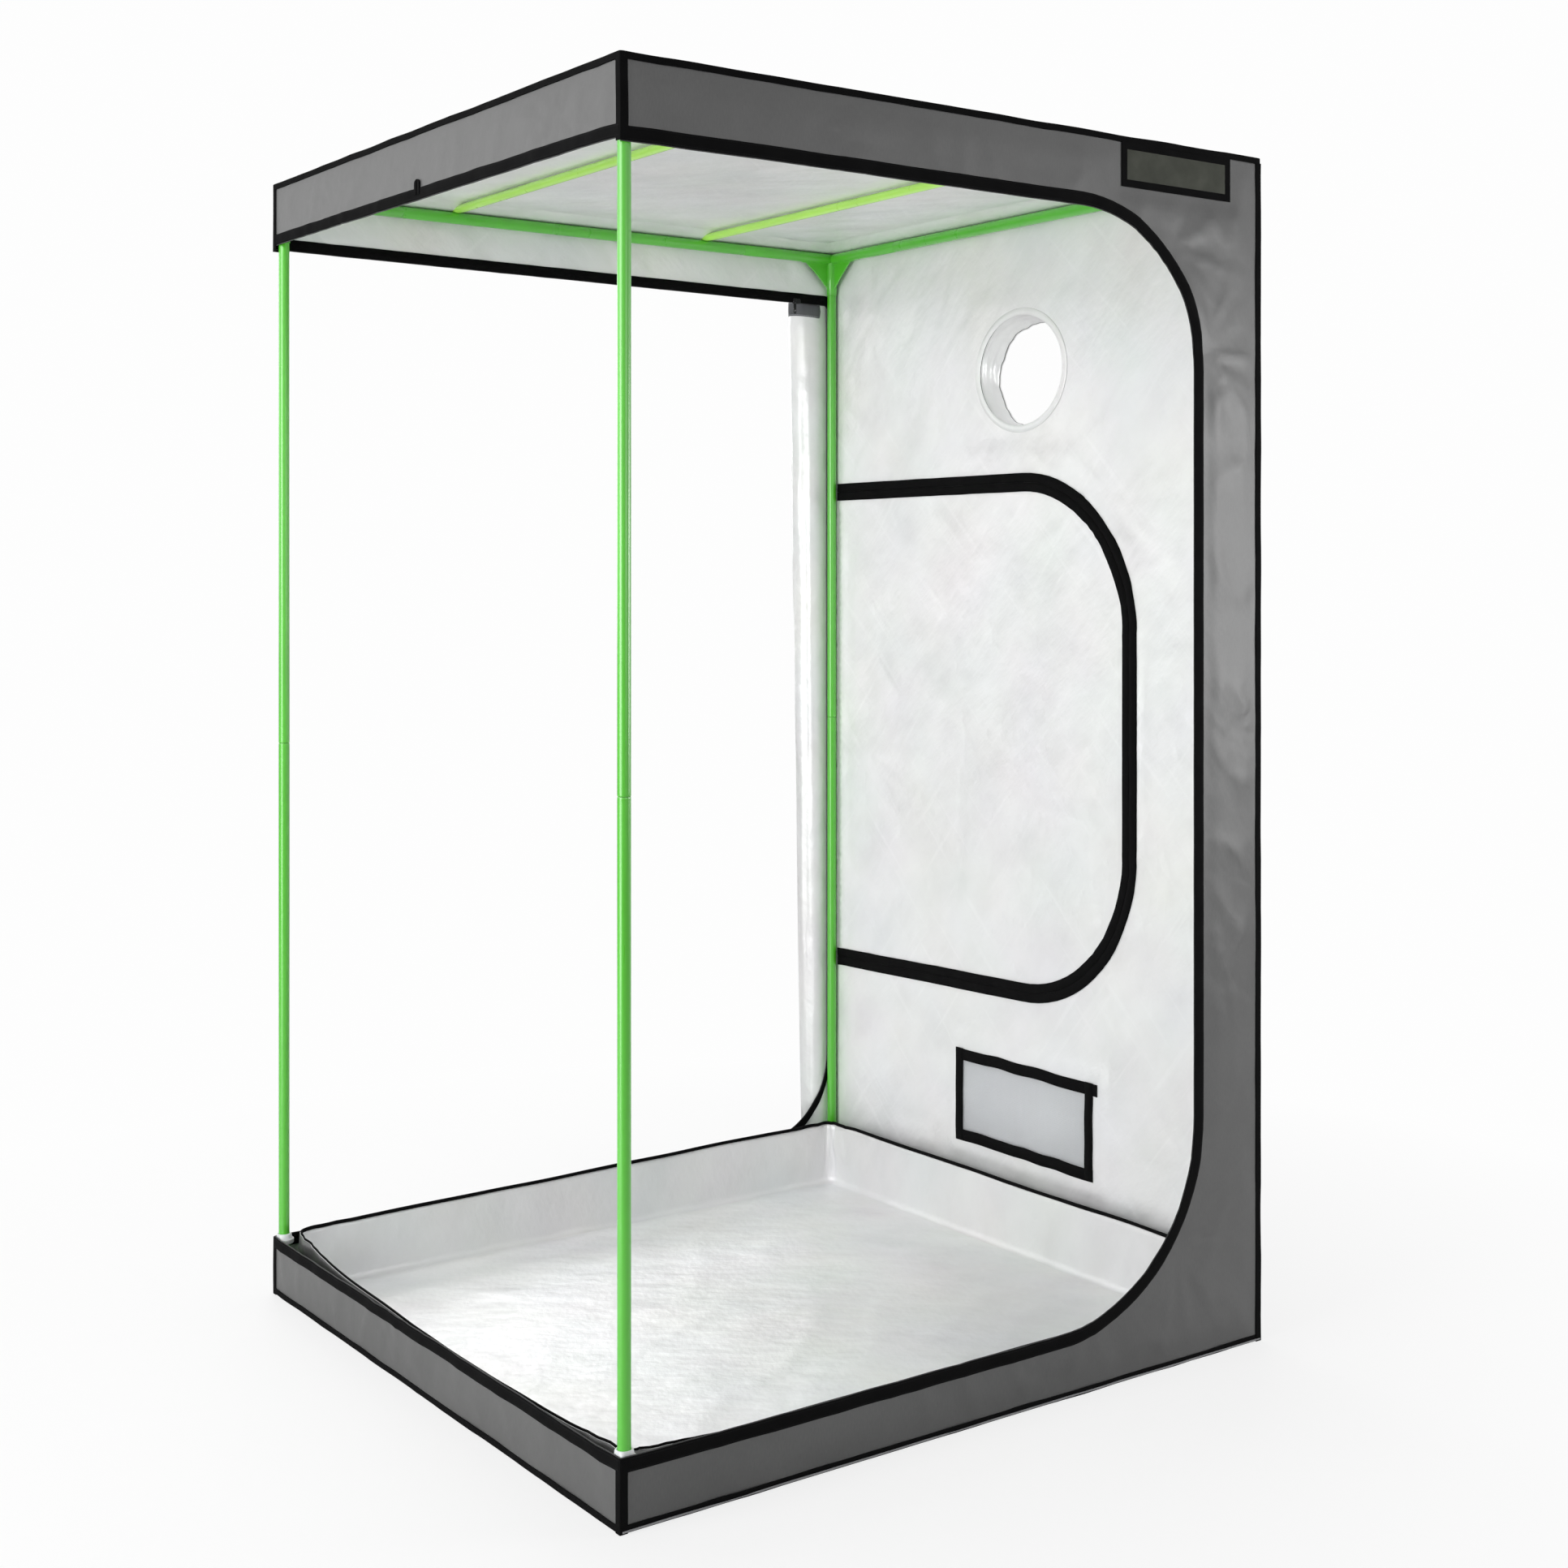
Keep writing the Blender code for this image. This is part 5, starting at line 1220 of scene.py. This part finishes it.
# The gathers: share, count, turn, and turn along the sleeve
GATHERS = ((1, 7, 0, 0), (0.45, 16, 1.3, 1), (0.3, 29, 0, 4))
GATHER_DEPTH, GATHER_POWER, NARROWING, SAG, SAG_POWER = 0.0018, 1.3, 0.004, 0.008, 1.5
SLACK_DEPTH, SLACK_WAVES, SLACK_RISE, SLACK_END = 0.004, 2.1, 3.0, 1.05
SLEEVE_FIRST, SLEEVE_MOUTH_IN = 0.05, 0.010
PORT_HEM, PORT_HEM_OVER, MOUTH_HEM, SLEEVE_TURN_IN = 0.0125, 0.0012, 0.0016, 0.02
PORT_HEM_DEPTHS, PORT_HEM_WANDER = (-CLOTH - 0.0009, -CLOTH + 0.0002), 0.0003


def build_sleeve():
    """A gathered tube of cloth sewn round the port, sagging to its drawn-in mouth."""
    stations = [(out, grow, 0.0) for out, grow in SLEEVE_FLANGE]
    stations += [(SLEEVE_START + (SLEEVE_LENGTH - SLEEVE_MOUTH_IN) * t, 0.0, t)
                 for t in np.linspace(SLEEVE_FIRST, 1, SLEEVE_ROWS)]
    stations += [(SLEEVE_LENGTH - back, grow, 1.0) for back, grow in SLEEVE_MOUTH]
    rows = []
    for out, grow, t in stations:
        row = []
        for a in around(SLEEVE_SIDES):
            gather = sum(share * math.cos(count * a + turn + along * t) for share, count, turn, along in GATHERS)
            slack = rough(math.cos(a), math.sin(a), SLACK_WAVES, t * SLACK_RISE)
            slack *= math.sin(math.pi * min(1, t * SLACK_END))
            wave = grow + GATHER_DEPTH * t ** GATHER_POWER * gather + SLACK_DEPTH * slack - NARROWING * t * t
            row.append(Vector((HALF + out, (PORT_HALF_WIDE + wave) * math.cos(a),
                               PORT_HEIGHT - SAG * t ** SAG_POWER + (PORT_HALF_TALL + wave) * math.sin(a))))
        rows.append(row)
    sleeve = thicken(skin("duct_sleeve_cloth", rows, [GREY, FILM], wrap=True, sharp=SLEEVE_SHARP), SLEEVE_THICK)
    place(sleeve, "tent", ["duct_sleeve"], "grey_cloth")
    hem = strip("duct_port_hem", "right", port_ring(HEM_RING), -PORT_HEM, PORT_HEM_OVER, *PORT_HEM_DEPTHS, FILM,
                closed=True, wander=PORT_HEM_WANDER)
    place(hem, "tent", (), "silver_lining")
    mouth, rings = rows[-2], []
    for i, point in enumerate(mouth):
        run = (mouth[(i + 1) % len(mouth)] - mouth[i - 1]).normalized()
        rings.append(ring_at(point, run.cross(X).normalized(), X, MOUTH_HEM))
    cord = skin("duct_sleeve_mouth_hem", rings, [GREY], wrap=True, loop=True)
    place(cord, "tent", (), "grey_cloth")
    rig.sheet(sleeve, flat=(math.pi * (PORT_HALF_WIDE + PORT_HALF_TALL), SLEEVE_LENGTH + SLEEVE_TURN_IN),
             held="gathered", rests_on=["right_cloth"], with_pieces=[hem, cord])


# The vent

VENT_INNER, VENT_OUTER, VENT_LAYER, VENT_OVER, VENT_WANDER = -CLOTH - 0.0017, -CLOTH - 0.0001, 0.0003, 0.012, 0.0022
FLAP_STEP, FLAP_THICK, FLAP_IN, FLAP_HANG, FLAP_TRIM = 0.012, 0.0008, 0.0004, 0.0012, 0.0075
FLAP_FREE, FLAP_WAVES, FLAP_SEED = 0.06, (12, 0, 0, 9), 2
TRIM_STEP, TRIM_UNEVEN, TRIM_WAVES, TRIM_SEED = 0.01, 0.1, 21, 6
NET_PITCH, NET_SHARE, NET_LAYER, NET_THICK, NET_HEM = 0.0027, 0.19, 0.0002, 0.0003, 0.007


def build_vent():
    (low_u, low_v), (high_u, high_v) = VENT_LOW.yz, VENT_HIGH.yz
    side, level = VENT_SIDE / 2, VENT_TOP_TAPE / 2
    tapes = [strip(f"vent_tape_{name}", "right", path, -half, half, VENT_INNER - VENT_LAYER * k,
                   VENT_OUTER - VENT_LAYER * k, BLACK, wander=VENT_WANDER)
             for k, (name, path, half) in enumerate((
                 ("upper", [(low_u - VENT_OVER, high_v - level), (high_u, high_v - level)], level),
                 ("lower", [(low_u, low_v + level), (high_u, low_v + level)], level),
                 ("near", [(low_u + side, low_v), (low_u + side, high_v)], side),
                 ("far", [(high_u - side, low_v), (high_u - side, high_v)], side)))]
    place(joined("vent_tape_sewn", tapes), "tent", ["vent_frame"], "black_tape")
    place(netting_over(vent_window(NET_HEM), NET_PITCH), "tent", ["vent_mesh"], "vent_net")
    low, high = low_high("vent_flap")
    wide, tall = high.y - low.y, high.z - low.z
    rows = [[Vector((flap_at(u, v, high), u, v)) for u in np.linspace(low.y, high.y, int(wide / FLAP_STEP))]
            for v in np.linspace(low.z, high.z, int(tall / FLAP_STEP))]
    flap = thicken(skin("vent_flap_cloth", rows, [GREY, FILM]), FLAP_THICK)
    place(flap, "vent_flap", ["vent_flap"], "grey_cloth")
    trim = flap_trim(low, high)
    place(trim, "vent_flap", (), "black_tape")
    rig.sheet(flap, flat=(wide, tall), held="hung", rests_on=["right_cloth"], with_pieces=[trim])


def flap_at(u, v, high):
    """How far out the vent's flap hangs at a place."""
    hang = smooth(high.z - v, 0, FLAP_FREE)
    return high.x - FLAP_IN + hang * FLAP_HANG * (1 + rough(u, v, FLAP_WAVES, FLAP_SEED))


def flap_trim(low, high):
    """Binding round the three free edges of the vent's flap."""
    path = evenly([(low.y, high.z), (low.y, low.z), (high.y, low.z), (high.y, high.z)], TRIM_STEP, closed=False)
    rows = []
    for (u, v), side in zip(path, normals_of(path, False)):
        out = flap_at(u, v, high)
        wide = FLAP_TRIM * (1 + TRIM_UNEVEN * rough(u, v, TRIM_WAVES, TRIM_SEED))
        section = [(-0.0006, -0.0012), (wide, -0.0014), (wide, -0.0009), (wide, 0.0006), (wide / 2, 0.0009),
                   (-0.0004, 0.0004)]
        rows.append([Vector((out + x, u + side[0] * s, v + side[1] * s)) for s, x in section])
    return skin("vent_flap_binding", rows, [PLAIN_BLACK], wrap=True, caps=True,
                across=[0, 0.007, 0.0072, 0.0024, 0.0036, 0.0005])


def netting_over(window, pitch):
    """Square net of single threads over a window in the right wall."""
    low, high = np.array(window[0]), np.array(window[2])
    half = pitch * NET_SHARE
    points, faces, uvs = [], [], []
    for axis in (0, 1):
        beside = np.array((1, 0) if axis == 0 else (0, 1))
        depth = HALF - CLOTH / 2 + NET_LAYER * axis
        for at in np.arange(low[axis] + pitch / 2, high[axis], pitch):
            first, run = len(points), np.linspace(0, 1, 3)
            for t in run:
                centre = low + (high - low) * t
                centre[axis] = at
                points += [(depth, *(centre + beside * off * half)) for off in (-1, 1)]
            for k in (0, 1):
                a = first + 2 * k
                faces.append((a, a + 1, a + 3, a + 2))
                uvs += [(run[k], 0), (run[k], half), (run[k + 1], half), (run[k + 1], 0)]
    return thicken(made_object("vent_net", points, faces, uvs, [NET]), NET_THICK, 0.0)


# The small sewn pieces

LABEL_EDGE, LABEL_ROUND, FIELD_SHARE, FIELD_ROUND, FIELD_GROWN = 0.012, 0.0004, 0.6, 0.0002, (1.03, 1.08)
LOOP_INSET, LOOP_DROP, LOOP_RISE, LOOP_TURN = 0.0025, 0.008, 0.0065, 0.3
LOOP_OUTER, LOOP_INNER, LOOP_SPREAD, LOOP_HOLLOW = 0.0003, 0.0001, 1.4, 0.30


def build_label():
    """The label's place on the front, a bare patch with its border."""
    low, high = low_high("label_patch")
    half_wide, half_tall, thick = (high.x - low.x) / 2, (high.z - low.z) / 2, high.y - low.y
    where = stand(X, Z, -Y, Vector(((low.x + high.x) / 2, high.y - thick / 2, (low.z + high.z) / 2)))
    outer = rectangle(-half_wide, -half_tall, half_wide, half_tall)
    hole = [(u * (1 - LABEL_EDGE / half_wide), v * (1 - LABEL_EDGE / half_tall)) for u, v in outer]
    field = [(u * FIELD_GROWN[0], v * FIELD_GROWN[1]) for u, v in hole]
    border = plate("label_border", [outer, hole], thick, PLAIN_BLACK, LABEL_ROUND, where)
    cloth = plate("label_field", [field], thick * FIELD_SHARE, PATCH, FIELD_ROUND,
                  Matrix.Translation((0, thick * 0.15, 0)) @ where)
    place(joined("label_patch_bare", [cloth, border]), "tent", ["label_patch"], "label_cloth")


def build_loop():
    """The small webbing loop on the left band."""
    low, high = low_high("band_loop")
    centre, half = (high.y + low.y) / 2, (high.y - low.y) / 2 - LOOP_INSET
    neck = high.z - LOOP_DROP
    path = [(-half, low.z), (-half, neck)]
    path += [(-half * math.cos(a), neck + LOOP_RISE * math.sin(a))
             for a in np.linspace(LOOP_TURN, math.pi - LOOP_TURN, 9)]
    path += [(half, neck), (half, low.z)]
    wall, face = high.x - LOOP_INNER, low.x + LOOP_OUTER
    rows = [[Vector((x, centre + y * s, z)) for x, s in ((wall, LOOP_SPREAD), (face, LOOP_SPREAD), (face, LOOP_HOLLOW),
                                                         (wall, LOOP_HOLLOW))] for y, z in path]
    loop = skin("band_loop_webbing", rows, [BLACK], wrap=True, caps=True)
    place(loop, "tent", ["band_loop"], "black_tape")


# The zip sliders

BODY_WIDE, BODY_TALL, BODY_ROUND, BODY_WAIST, BODY_SIDES = 0.012, 0.018, 0.0006, 0.16, 40
PULL_LONG, PULL_WIDE, PULL_THICK, PULL_ROUND, PULL_HOLE = 0.026, 0.0072, 0.0011, 0.0004, (0.0016, 0.0028)
PULL_SHIFT, PULL_IN, BRIDGE, BRIDGE_REACH, BRIDGE_RISE, BRIDGE_IN = 0.002, 0.0006, 0.0009, 0.004, 0.0014, 0.0024
# Bodies: how far from the cloth or the box, and how thick; ribs: half width, inset, thickness
SMALL_BODY, SMALL_RIB, SMALL_RIB_OUT = (0.0022, 0.0020), (0.0005, 0.001, 0.0026), 0.0004
BIG_INNER, BIG_OUTER, BIG_THICK, BIG_RIB = 0.0015, 0.0030, 0.0026, (0.0004, 0.002)
RIB_ROUND, BIG_RIB_SHIFT, BIG_RIB_LESS = 0.0002, 0.003, 0.006


def shield(tall):
    """The waisted outline of a slider's body."""
    points = []
    for a in around(BODY_SIDES):
        c, s = math.cos(a), math.sin(a)
        waist = 1 - BODY_WAIST * math.exp(-((s - 0.1) / 0.35) ** 2)
        points.append((BODY_WIDE / 2 * math.copysign(abs(c) ** 0.6, c) * waist,
                       tall / 2 * math.copysign(abs(s) ** 0.7, s)))
    return points


def pull_outlines():
    """The pull with its hole, which hangs from its narrow end."""
    half, root = PULL_WIDE / 2, PULL_WIDE * 0.36
    outline = [(-root, 0), (root, 0), (half, PULL_LONG * 0.3)]
    outline += [(half * math.cos(a), PULL_LONG - half + half * math.sin(a)) for a in np.linspace(0, math.pi, 12)]
    outline += [(-half, PULL_LONG * 0.3)]
    hole = [(PULL_HOLE[0] * math.cos(a), PULL_LONG * 0.78 + PULL_HOLE[1] * math.sin(a)) for a in around(16)]
    return [outline, hole]


def slider(name):
    """An enamelled zip slider: its waisted body, a rib, and a hanging pull on its bridge."""
    low, high = low_high(name)
    centre, upper = (low + high) / 2, "upper" in name
    if name.startswith("half"):
        out, along, across, beside, tall = X, Z, Y, Y, BODY_TALL
        pull_way = Z if upper else -Z
        centre = Vector((0, centre.y, low.z + tall / 2 if upper else high.z - tall / 2))
        begin = centre - pull_way * PULL_SHIFT
        bodies = [(OUTSIDE + SMALL_BODY[0], SMALL_BODY[1])]
        rib = ("fin", *SMALL_RIB, OUTSIDE + SMALL_RIB_OUT, centre)
    else:
        out, along, across, beside, tall = Y, X, Z, X, high.x - low.x
        pull_way, between = -Z, centre.y
        begin = centre = Vector((centre.x, 0, door_level("back", upper)))
        bodies = [(low.y + BIG_INNER, BIG_THICK), (high.y - BIG_OUTER, BIG_THICK)]
        shifted = centre + Z * (-BIG_RIB_SHIFT if upper else BIG_RIB_SHIFT)
        rib = ("web", *BIG_RIB, high.y - low.y - BIG_RIB_LESS, between, shifted)

    def at(first, second, origin, distance):
        return stand(first, second, out, origin + out * (distance - out.dot(origin)))

    parts = [plate(f"{name}_body_{k}", [shield(tall)], thick, ZINC, BODY_ROUND, at(across, along, centre, distance))
             for k, (distance, thick) in enumerate(bodies)]
    kind, half, inset, thick, distance, origin = rib
    outline = rectangle(-half, inset - tall / 2, half, tall / 2 - inset)
    parts.append(plate(f"{name}_{kind}", [outline], thick, ZINC, RIB_ROUND, at(across, along, origin, distance)))
    face = out.dot(high)
    parts.append(plate(f"{name}_pull", pull_outlines(), PULL_THICK, ZINC, PULL_ROUND,
                       at(beside, pull_way, begin, face - PULL_IN)))
    rings = []
    for t in np.linspace(0, math.pi, 9):
        rise = face - BRIDGE_IN + BRIDGE_RISE * math.sin(t) - out.dot(begin)
        point = begin + pull_way * PULL_SHIFT + along * BRIDGE_REACH * math.cos(t) + out * rise
        rings.append(ring_at(point, beside, along.cross(beside) / 2, BRIDGE))
    parts.append(skin(f"{name}_bridge", rings, [ZINC], wrap=True, caps=True))
    place(joined(f"{name}_dressed", parts), name, [name], "zip_metal")


# The floor tray

TRAY_CORNER, TRAY_CORNER_STEPS, TRAY_BEND, TRAY_SHARE = 0.025, 12, 0.012, 0.6
TRAY_STEP, TRAY_FILL, TRAY_ROW, TRAY_UV_UP = 0.014, 0.018, 0.01, 3
RIM_FRONT_LEFT, RIM_FRONT_LOW, RIM_FRONT_RIGHT = 0.096, 0.088, 0.135
RIM_BACK_LEFT, RIM_BACK_RIGHT = 0.115, 0.134
RIM_DIP_START_SHARE, RIM_DIP_END_SHARE = 0.12, 0.75
LEFT_LEAN_OUT, LEFT_DIP = 0.016, 0.013
TRAY_SWELL, TRAY_CREASE, TRAY_FINE, TRAY_SEAM = 0.0025, 0.0028, 0.0006, 2.2
TRAY_SEAM_IN, TRAY_SEAM_WIDE = 0.045, 0.007
WALL_RIPPLE, WALL_CRUMPLE, RIM_RIPPLE, RIM_DROP = 0.0035, 0.0075, 0.0022, 0.001
# The rim binding's width and depth: size, unevenness, waves, seed
RIM_WIDE, RIM_DEEP = (0.0026, 0.25, 9, 1), (0.0034, 0.3, 7, 4)
RIM_WAVES, RIM_SEED, SLUMP_REACH, SLUMP_POWER = 6, 12.3, 0.03, 0.7
TRAY_FREE, WALL_CORNER, WALL_FREE = (0.01, 0.12), 0.22, 0.05
# The floor's creases, fine crinkles and swells, and the wall's ripples and crumples: waves and seeds, or rises
FLOOR_CREASE, FLOOR_CREASE_EDGE, CREASE_AT_EDGE = ((5, -7, 2.5, 2), 6.1), 7, 0.4
FLOOR_FINE, FLOOR_SWELL, RIPPLE, CRUMPLE, CRUMPLE_EDGE = (24, 8.8), ((4, 2, -2, 4), 2.2), (8, 14), (26, 22), 3


def build_tray():
    """The lift-out tray: crumpled silver cloth with soft corners and a bound rim."""
    low, high = low_high("floor_tray")
    half, bend = high.x, TRAY_BEND
    floor_z = low.z + CLOTH
    low_rim = RIM_FRONT_LOW - floor_z
    ring = evenly(rounded_square(half, TRAY_CORNER, TRAY_CORNER_STEPS), TRAY_STEP)
    outward = normals_of(ring, True)
    if np.dot(outward[0], ring[0]) < 0:
        outward = -outward
    base = [tuple(np.array(p) - n * bend) for p, n in zip(ring, outward)]
    flat, faces = filled([base], TRAY_FILL, exact=True)
    points = [Vector((u, v, floor_z + tray_ripple(u, v, half))) for u, v in flat]
    uvs = [tuple(flat[i]) for i in faces.ravel()]
    faces = faces.tolist()
    previous = list(range(len(base)))
    heights = [(bend * (1 - math.cos(a)), bend * math.sin(a)) for a in np.linspace(0, math.pi / 2, 5)[1:]]
    heights += [(bend + (low_rim - bend) * share, bend) for share in np.linspace(0, 1, 9)[1:]]
    for up, out in heights:
        current = []
        for at, n, edge in zip(base, outward, ring):
            at = np.array(at) + n * (out - tray_wall(edge, up, half))
            share = max(0.0, (up - bend) / (low_rim - bend))
            slump = left_slump(*edge, half) * share
            lift = (rim_height(*edge, half) - floor_z - low_rim + tray_rim(edge)) * share - LEFT_DIP * slump
            current.append(len(points))
            points.append(Vector((at[0] - LEFT_LEAN_OUT * slump, at[1], floor_z + up + lift)))
        after = zip(previous[1:] + previous[:1], current[1:] + current[:1])
        for k, (a, d, (b, c)) in enumerate(zip(previous, current, after)):
            faces.append((a, d, c, b))
            start, end, level = TRAY_STEP * k, TRAY_STEP * (k + 1), up + TRAY_UV_UP
            uvs += [(start, level - TRAY_ROW), (start, level), (end, level), (end, level - TRAY_ROW)]
        previous = current
    tray = thicken(made_object("tray_cloth", points, faces, uvs, [TRAY_FILM, GREY]), CLOTH * TRAY_SHARE)
    place(tray, "floor_tray", ["floor_tray"], "silver_lining")
    rows = []
    for index, n in zip(previous, outward):
        point = points[index]
        wide, deep = (size * (1 + share * rough(point.x, point.y, waves, seed))
                      for size, share, waves, seed in (RIM_WIDE, RIM_DEEP))
        section = [(0.0002, 0.0030), (0.0003, -deep), (-0.0006, -deep), (-wide, -deep * 0.9), (-wide, 0.0014),
                   (-wide * 0.7, 0.0032)]
        rows.append([point + Vector((*n, 0)) * a + Z * b for a, b in section])
    rim = skin("tray_rim_binding", rows, [PLAIN_BLACK], wrap=True, loop=True,
               across=[0, 0.002, 0.002, 0.001, 0.003, 0.001])
    place(rim, "floor_tray", ["tray_edge_binding"], "black_tape")
    side = 2 * half + 2 * (high.z - low.z)
    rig.sheet(tray, flat=(side, side), held="laid", rests_on=["floor_cloth"],
             area=side ** 2 - 4 * (high.z - low.z) ** 2, with_pieces=[rim])


def rim_height(x, y, half):
    """The height of the tray's wall at a place of its edge: the soft rim dips at the front and tilts."""
    right, back = (x / half + 1) / 2, (y / half + 1) / 2
    into_dip = max(0, 1 - right / RIM_DIP_START_SHARE)
    out_of_dip = max(0, (right - RIM_DIP_END_SHARE) / (1 - RIM_DIP_END_SHARE))
    front = RIM_FRONT_LOW + into_dip * (RIM_FRONT_LEFT - RIM_FRONT_LOW) + out_of_dip * (RIM_FRONT_RIGHT - RIM_FRONT_LOW)
    rear = RIM_BACK_LEFT + right * (RIM_BACK_RIGHT - RIM_BACK_LEFT)
    return front + back * (rear - front)


def left_slump(x, y, half):
    """How much the tray's left wall slumps over the bottom bar at a place: most at its middle."""
    return smooth(-x, half - SLUMP_REACH, half) * math.sin(math.pi * (y / half + 1) / 2) ** SLUMP_POWER


def tray_ripple(u, v, half):
    """The low swells and diagonal creases of the tray's floor."""
    edge = half - max(abs(u), abs(v))
    free = smooth(edge, *TRAY_FREE)
    crease = ridge(FLOOR_CREASE_EDGE, u, v, *FLOOR_CREASE) * (CREASE_AT_EDGE + (1 - CREASE_AT_EDGE) * free)
    fine = rough(u, v, *FLOOR_FINE) + TRAY_SEAM * math.exp(-((edge - TRAY_SEAM_IN) / TRAY_SEAM_WIDE) ** 2)
    return TRAY_SWELL * swell(u, v, *FLOOR_SWELL) * free + TRAY_CREASE * crease + TRAY_FINE * fine


def tray_wall(point, up, half):
    """How far the tray's wall leans and crumples inward."""
    u, v = point
    near_corner = smooth(min(abs(u), abs(v)), half - WALL_CORNER, half - SLUMP_REACH)
    crumple = ridge(CRUMPLE_EDGE, u, v, CRUMPLE[0], up * CRUMPLE[1] + math.atan2(v, u))
    ripple = swell(u, v, RIPPLE[0], up * RIPPLE[1])
    return smooth(up, 0.0, WALL_FREE) * (WALL_RIPPLE * ripple + WALL_CRUMPLE * near_corner * crumple)


def tray_rim(point):
    """How far the rim rises or dips along its length."""
    return RIM_RIPPLE * rough(*point, RIM_WAVES, RIM_SEED) - RIM_DROP


# The stage

PAGE, PAGE_HALF, PAGE_DROP, PAGE_WHITE, PAGE_FADE = (0.80, 0.80, 0.80, 1), 40, 0.0004, 0.985, (0.80, 1.0, 0.9, 2.0)
AMBIENT, AIM = 0.08, Vector((0, 0, 0.9))
# Lamps: place, size, power
LAMPS = {
    "key_high": ((-3.4, -0.4, 2.5), 2.6, 62),
    "key_low": ((-3.4, -0.5, 0.9), 2.0, 50),
    "left_back": ((-3.0, 3.2, 2.1), 2.0, 11),
    "front": ((-0.3, -3.9, 1.6), 1.4, 12),
    "side": ((2.0, -2.2, 1.3), 1.1, 29),
    "above": ((0.3, 0.6, 4.2), 3.0, 95),
    "back": ((0.8, 3.6, 2.2), 2.4, 36),
}


def build_stage():
    """A ground that fades to the page's white, and a world that is white to look at but lights little."""
    look = Look("studio_floor", 0.55, space="Object", Base_Color=PAGE)
    far = look.node("VectorMath", {0: look.coords}, operation="LENGTH").outputs["Value"]
    seen = look.calc("MULTIPLY", look.node("LightPath").outputs["Is Camera Ray"], look.between(far, *PAGE_FADE))
    glow = look.node("Emission", {"Color": (1, 1, 1, 1), "Strength": PAGE_WHITE}).outputs[0]
    mixed = look.node("MixShader", {0: seen, 1: look.shader.outputs[0], 2: glow}).outputs[0]
    look.tree.links.new(mixed, look.tree.nodes["Material Output"].inputs["Surface"])
    mesh = bpy.data.meshes.new("studio_floor")
    square = rectangle(-PAGE_HALF, -PAGE_HALF, PAGE_HALF, PAGE_HALF)
    mesh.from_pydata([(*p, 0) for p in square], [], [(0, 1, 2, 3)])
    mesh.materials.append(look.made)
    ground = linked("studio_floor", mesh)
    ground.location.z = -PAGE_DROP
    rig.stage(ground)
    world = bpy.data.worlds.new("studio")
    bpy.context.scene.world = world
    world.use_nodes = True
    tree = world.node_tree
    rays = node(tree, "LightPath").outputs
    shown = rays["Is Camera Ray"]
    for ray in ("Is Glossy Ray", "Is Transmission Ray"):
        shown = node(tree, "Math", {0: shown, 1: rays[ray]}, operation="MAXIMUM").outputs[0]
    lit = tree.nodes["Background"]
    lit.inputs["Color"].default_value = (1, 1, 1, 1)
    lit.inputs["Strength"].default_value = AMBIENT
    white = node(tree, "Background", {"Color": (PAGE_WHITE, PAGE_WHITE, PAGE_WHITE, 1), "Strength": 1.0})
    mixed = node(tree, "MixShader", {0: shown, 1: lit.outputs[0], 2: white.outputs[0]}).outputs[0]
    tree.links.new(mixed, tree.nodes["World Output"].inputs["Surface"])


def build_lights():
    for name, (at, size, power) in LAMPS.items():
        light = bpy.data.lights.new(name, "AREA")
        light.shape = "DISK"
        light.size = size
        light.energy = power
        obj = linked(name, light)
        obj.location = at
        obj.rotation_mode = "QUATERNION"
        obj.rotation_quaternion = (AIM - Vector(at)).to_track_quat("-Z", "Y")
        obj.visible_camera = False


def build_camera():
    data = bpy.data.cameras.new("photo_camera")
    data.sensor_width = SENSOR
    data.lens = FOCAL_PIXELS / PHOTO_SIDE * SENSOR
    data.shift_x = -(CENTRE_PIXELS[0] - PHOTO_SIDE / 2) / PHOTO_SIDE
    data.shift_y = (CENTRE_PIXELS[1] - PHOTO_SIDE / 2) / PHOTO_SIDE
    data.clip_end = CAMERA_FAR
    camera = linked("photo_camera", data)
    camera.location = CAMERA_PLACE
    camera.rotation_euler = (math.radians(90), 0, math.radians(-CAMERA_TURN))
    bpy.context.scene.camera = camera
    bpy.context.scene.view_settings.view_transform = "Standard"


def as_list(box):
    return [[float(c) for c in corner] for corner in box]


build_camera()
build_frame()
build_face("front", 1.0, FRONT_CORNERS, LEVEL)
build_face("back", BACK_UPRIGHT_SHARE, BACK_CORNERS, BACK_LEAN)
build_left()
build_right()
build_roof_and_floor()
build_bindings()
build_roll()
build_sleeve()
build_vent()
build_label()
build_loop()
for slider_name in ("half_door_upper_slider", "half_door_lower_slider", "door_upper_slider", "door_lower_slider"):
    slider(slider_name)
build_tray()
build_lights()
build_stage()

with open("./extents.json", "w") as out:
    json.dump({"cad": as_list(CAD_BOX), "visual": as_list(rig.bounds())}, out)
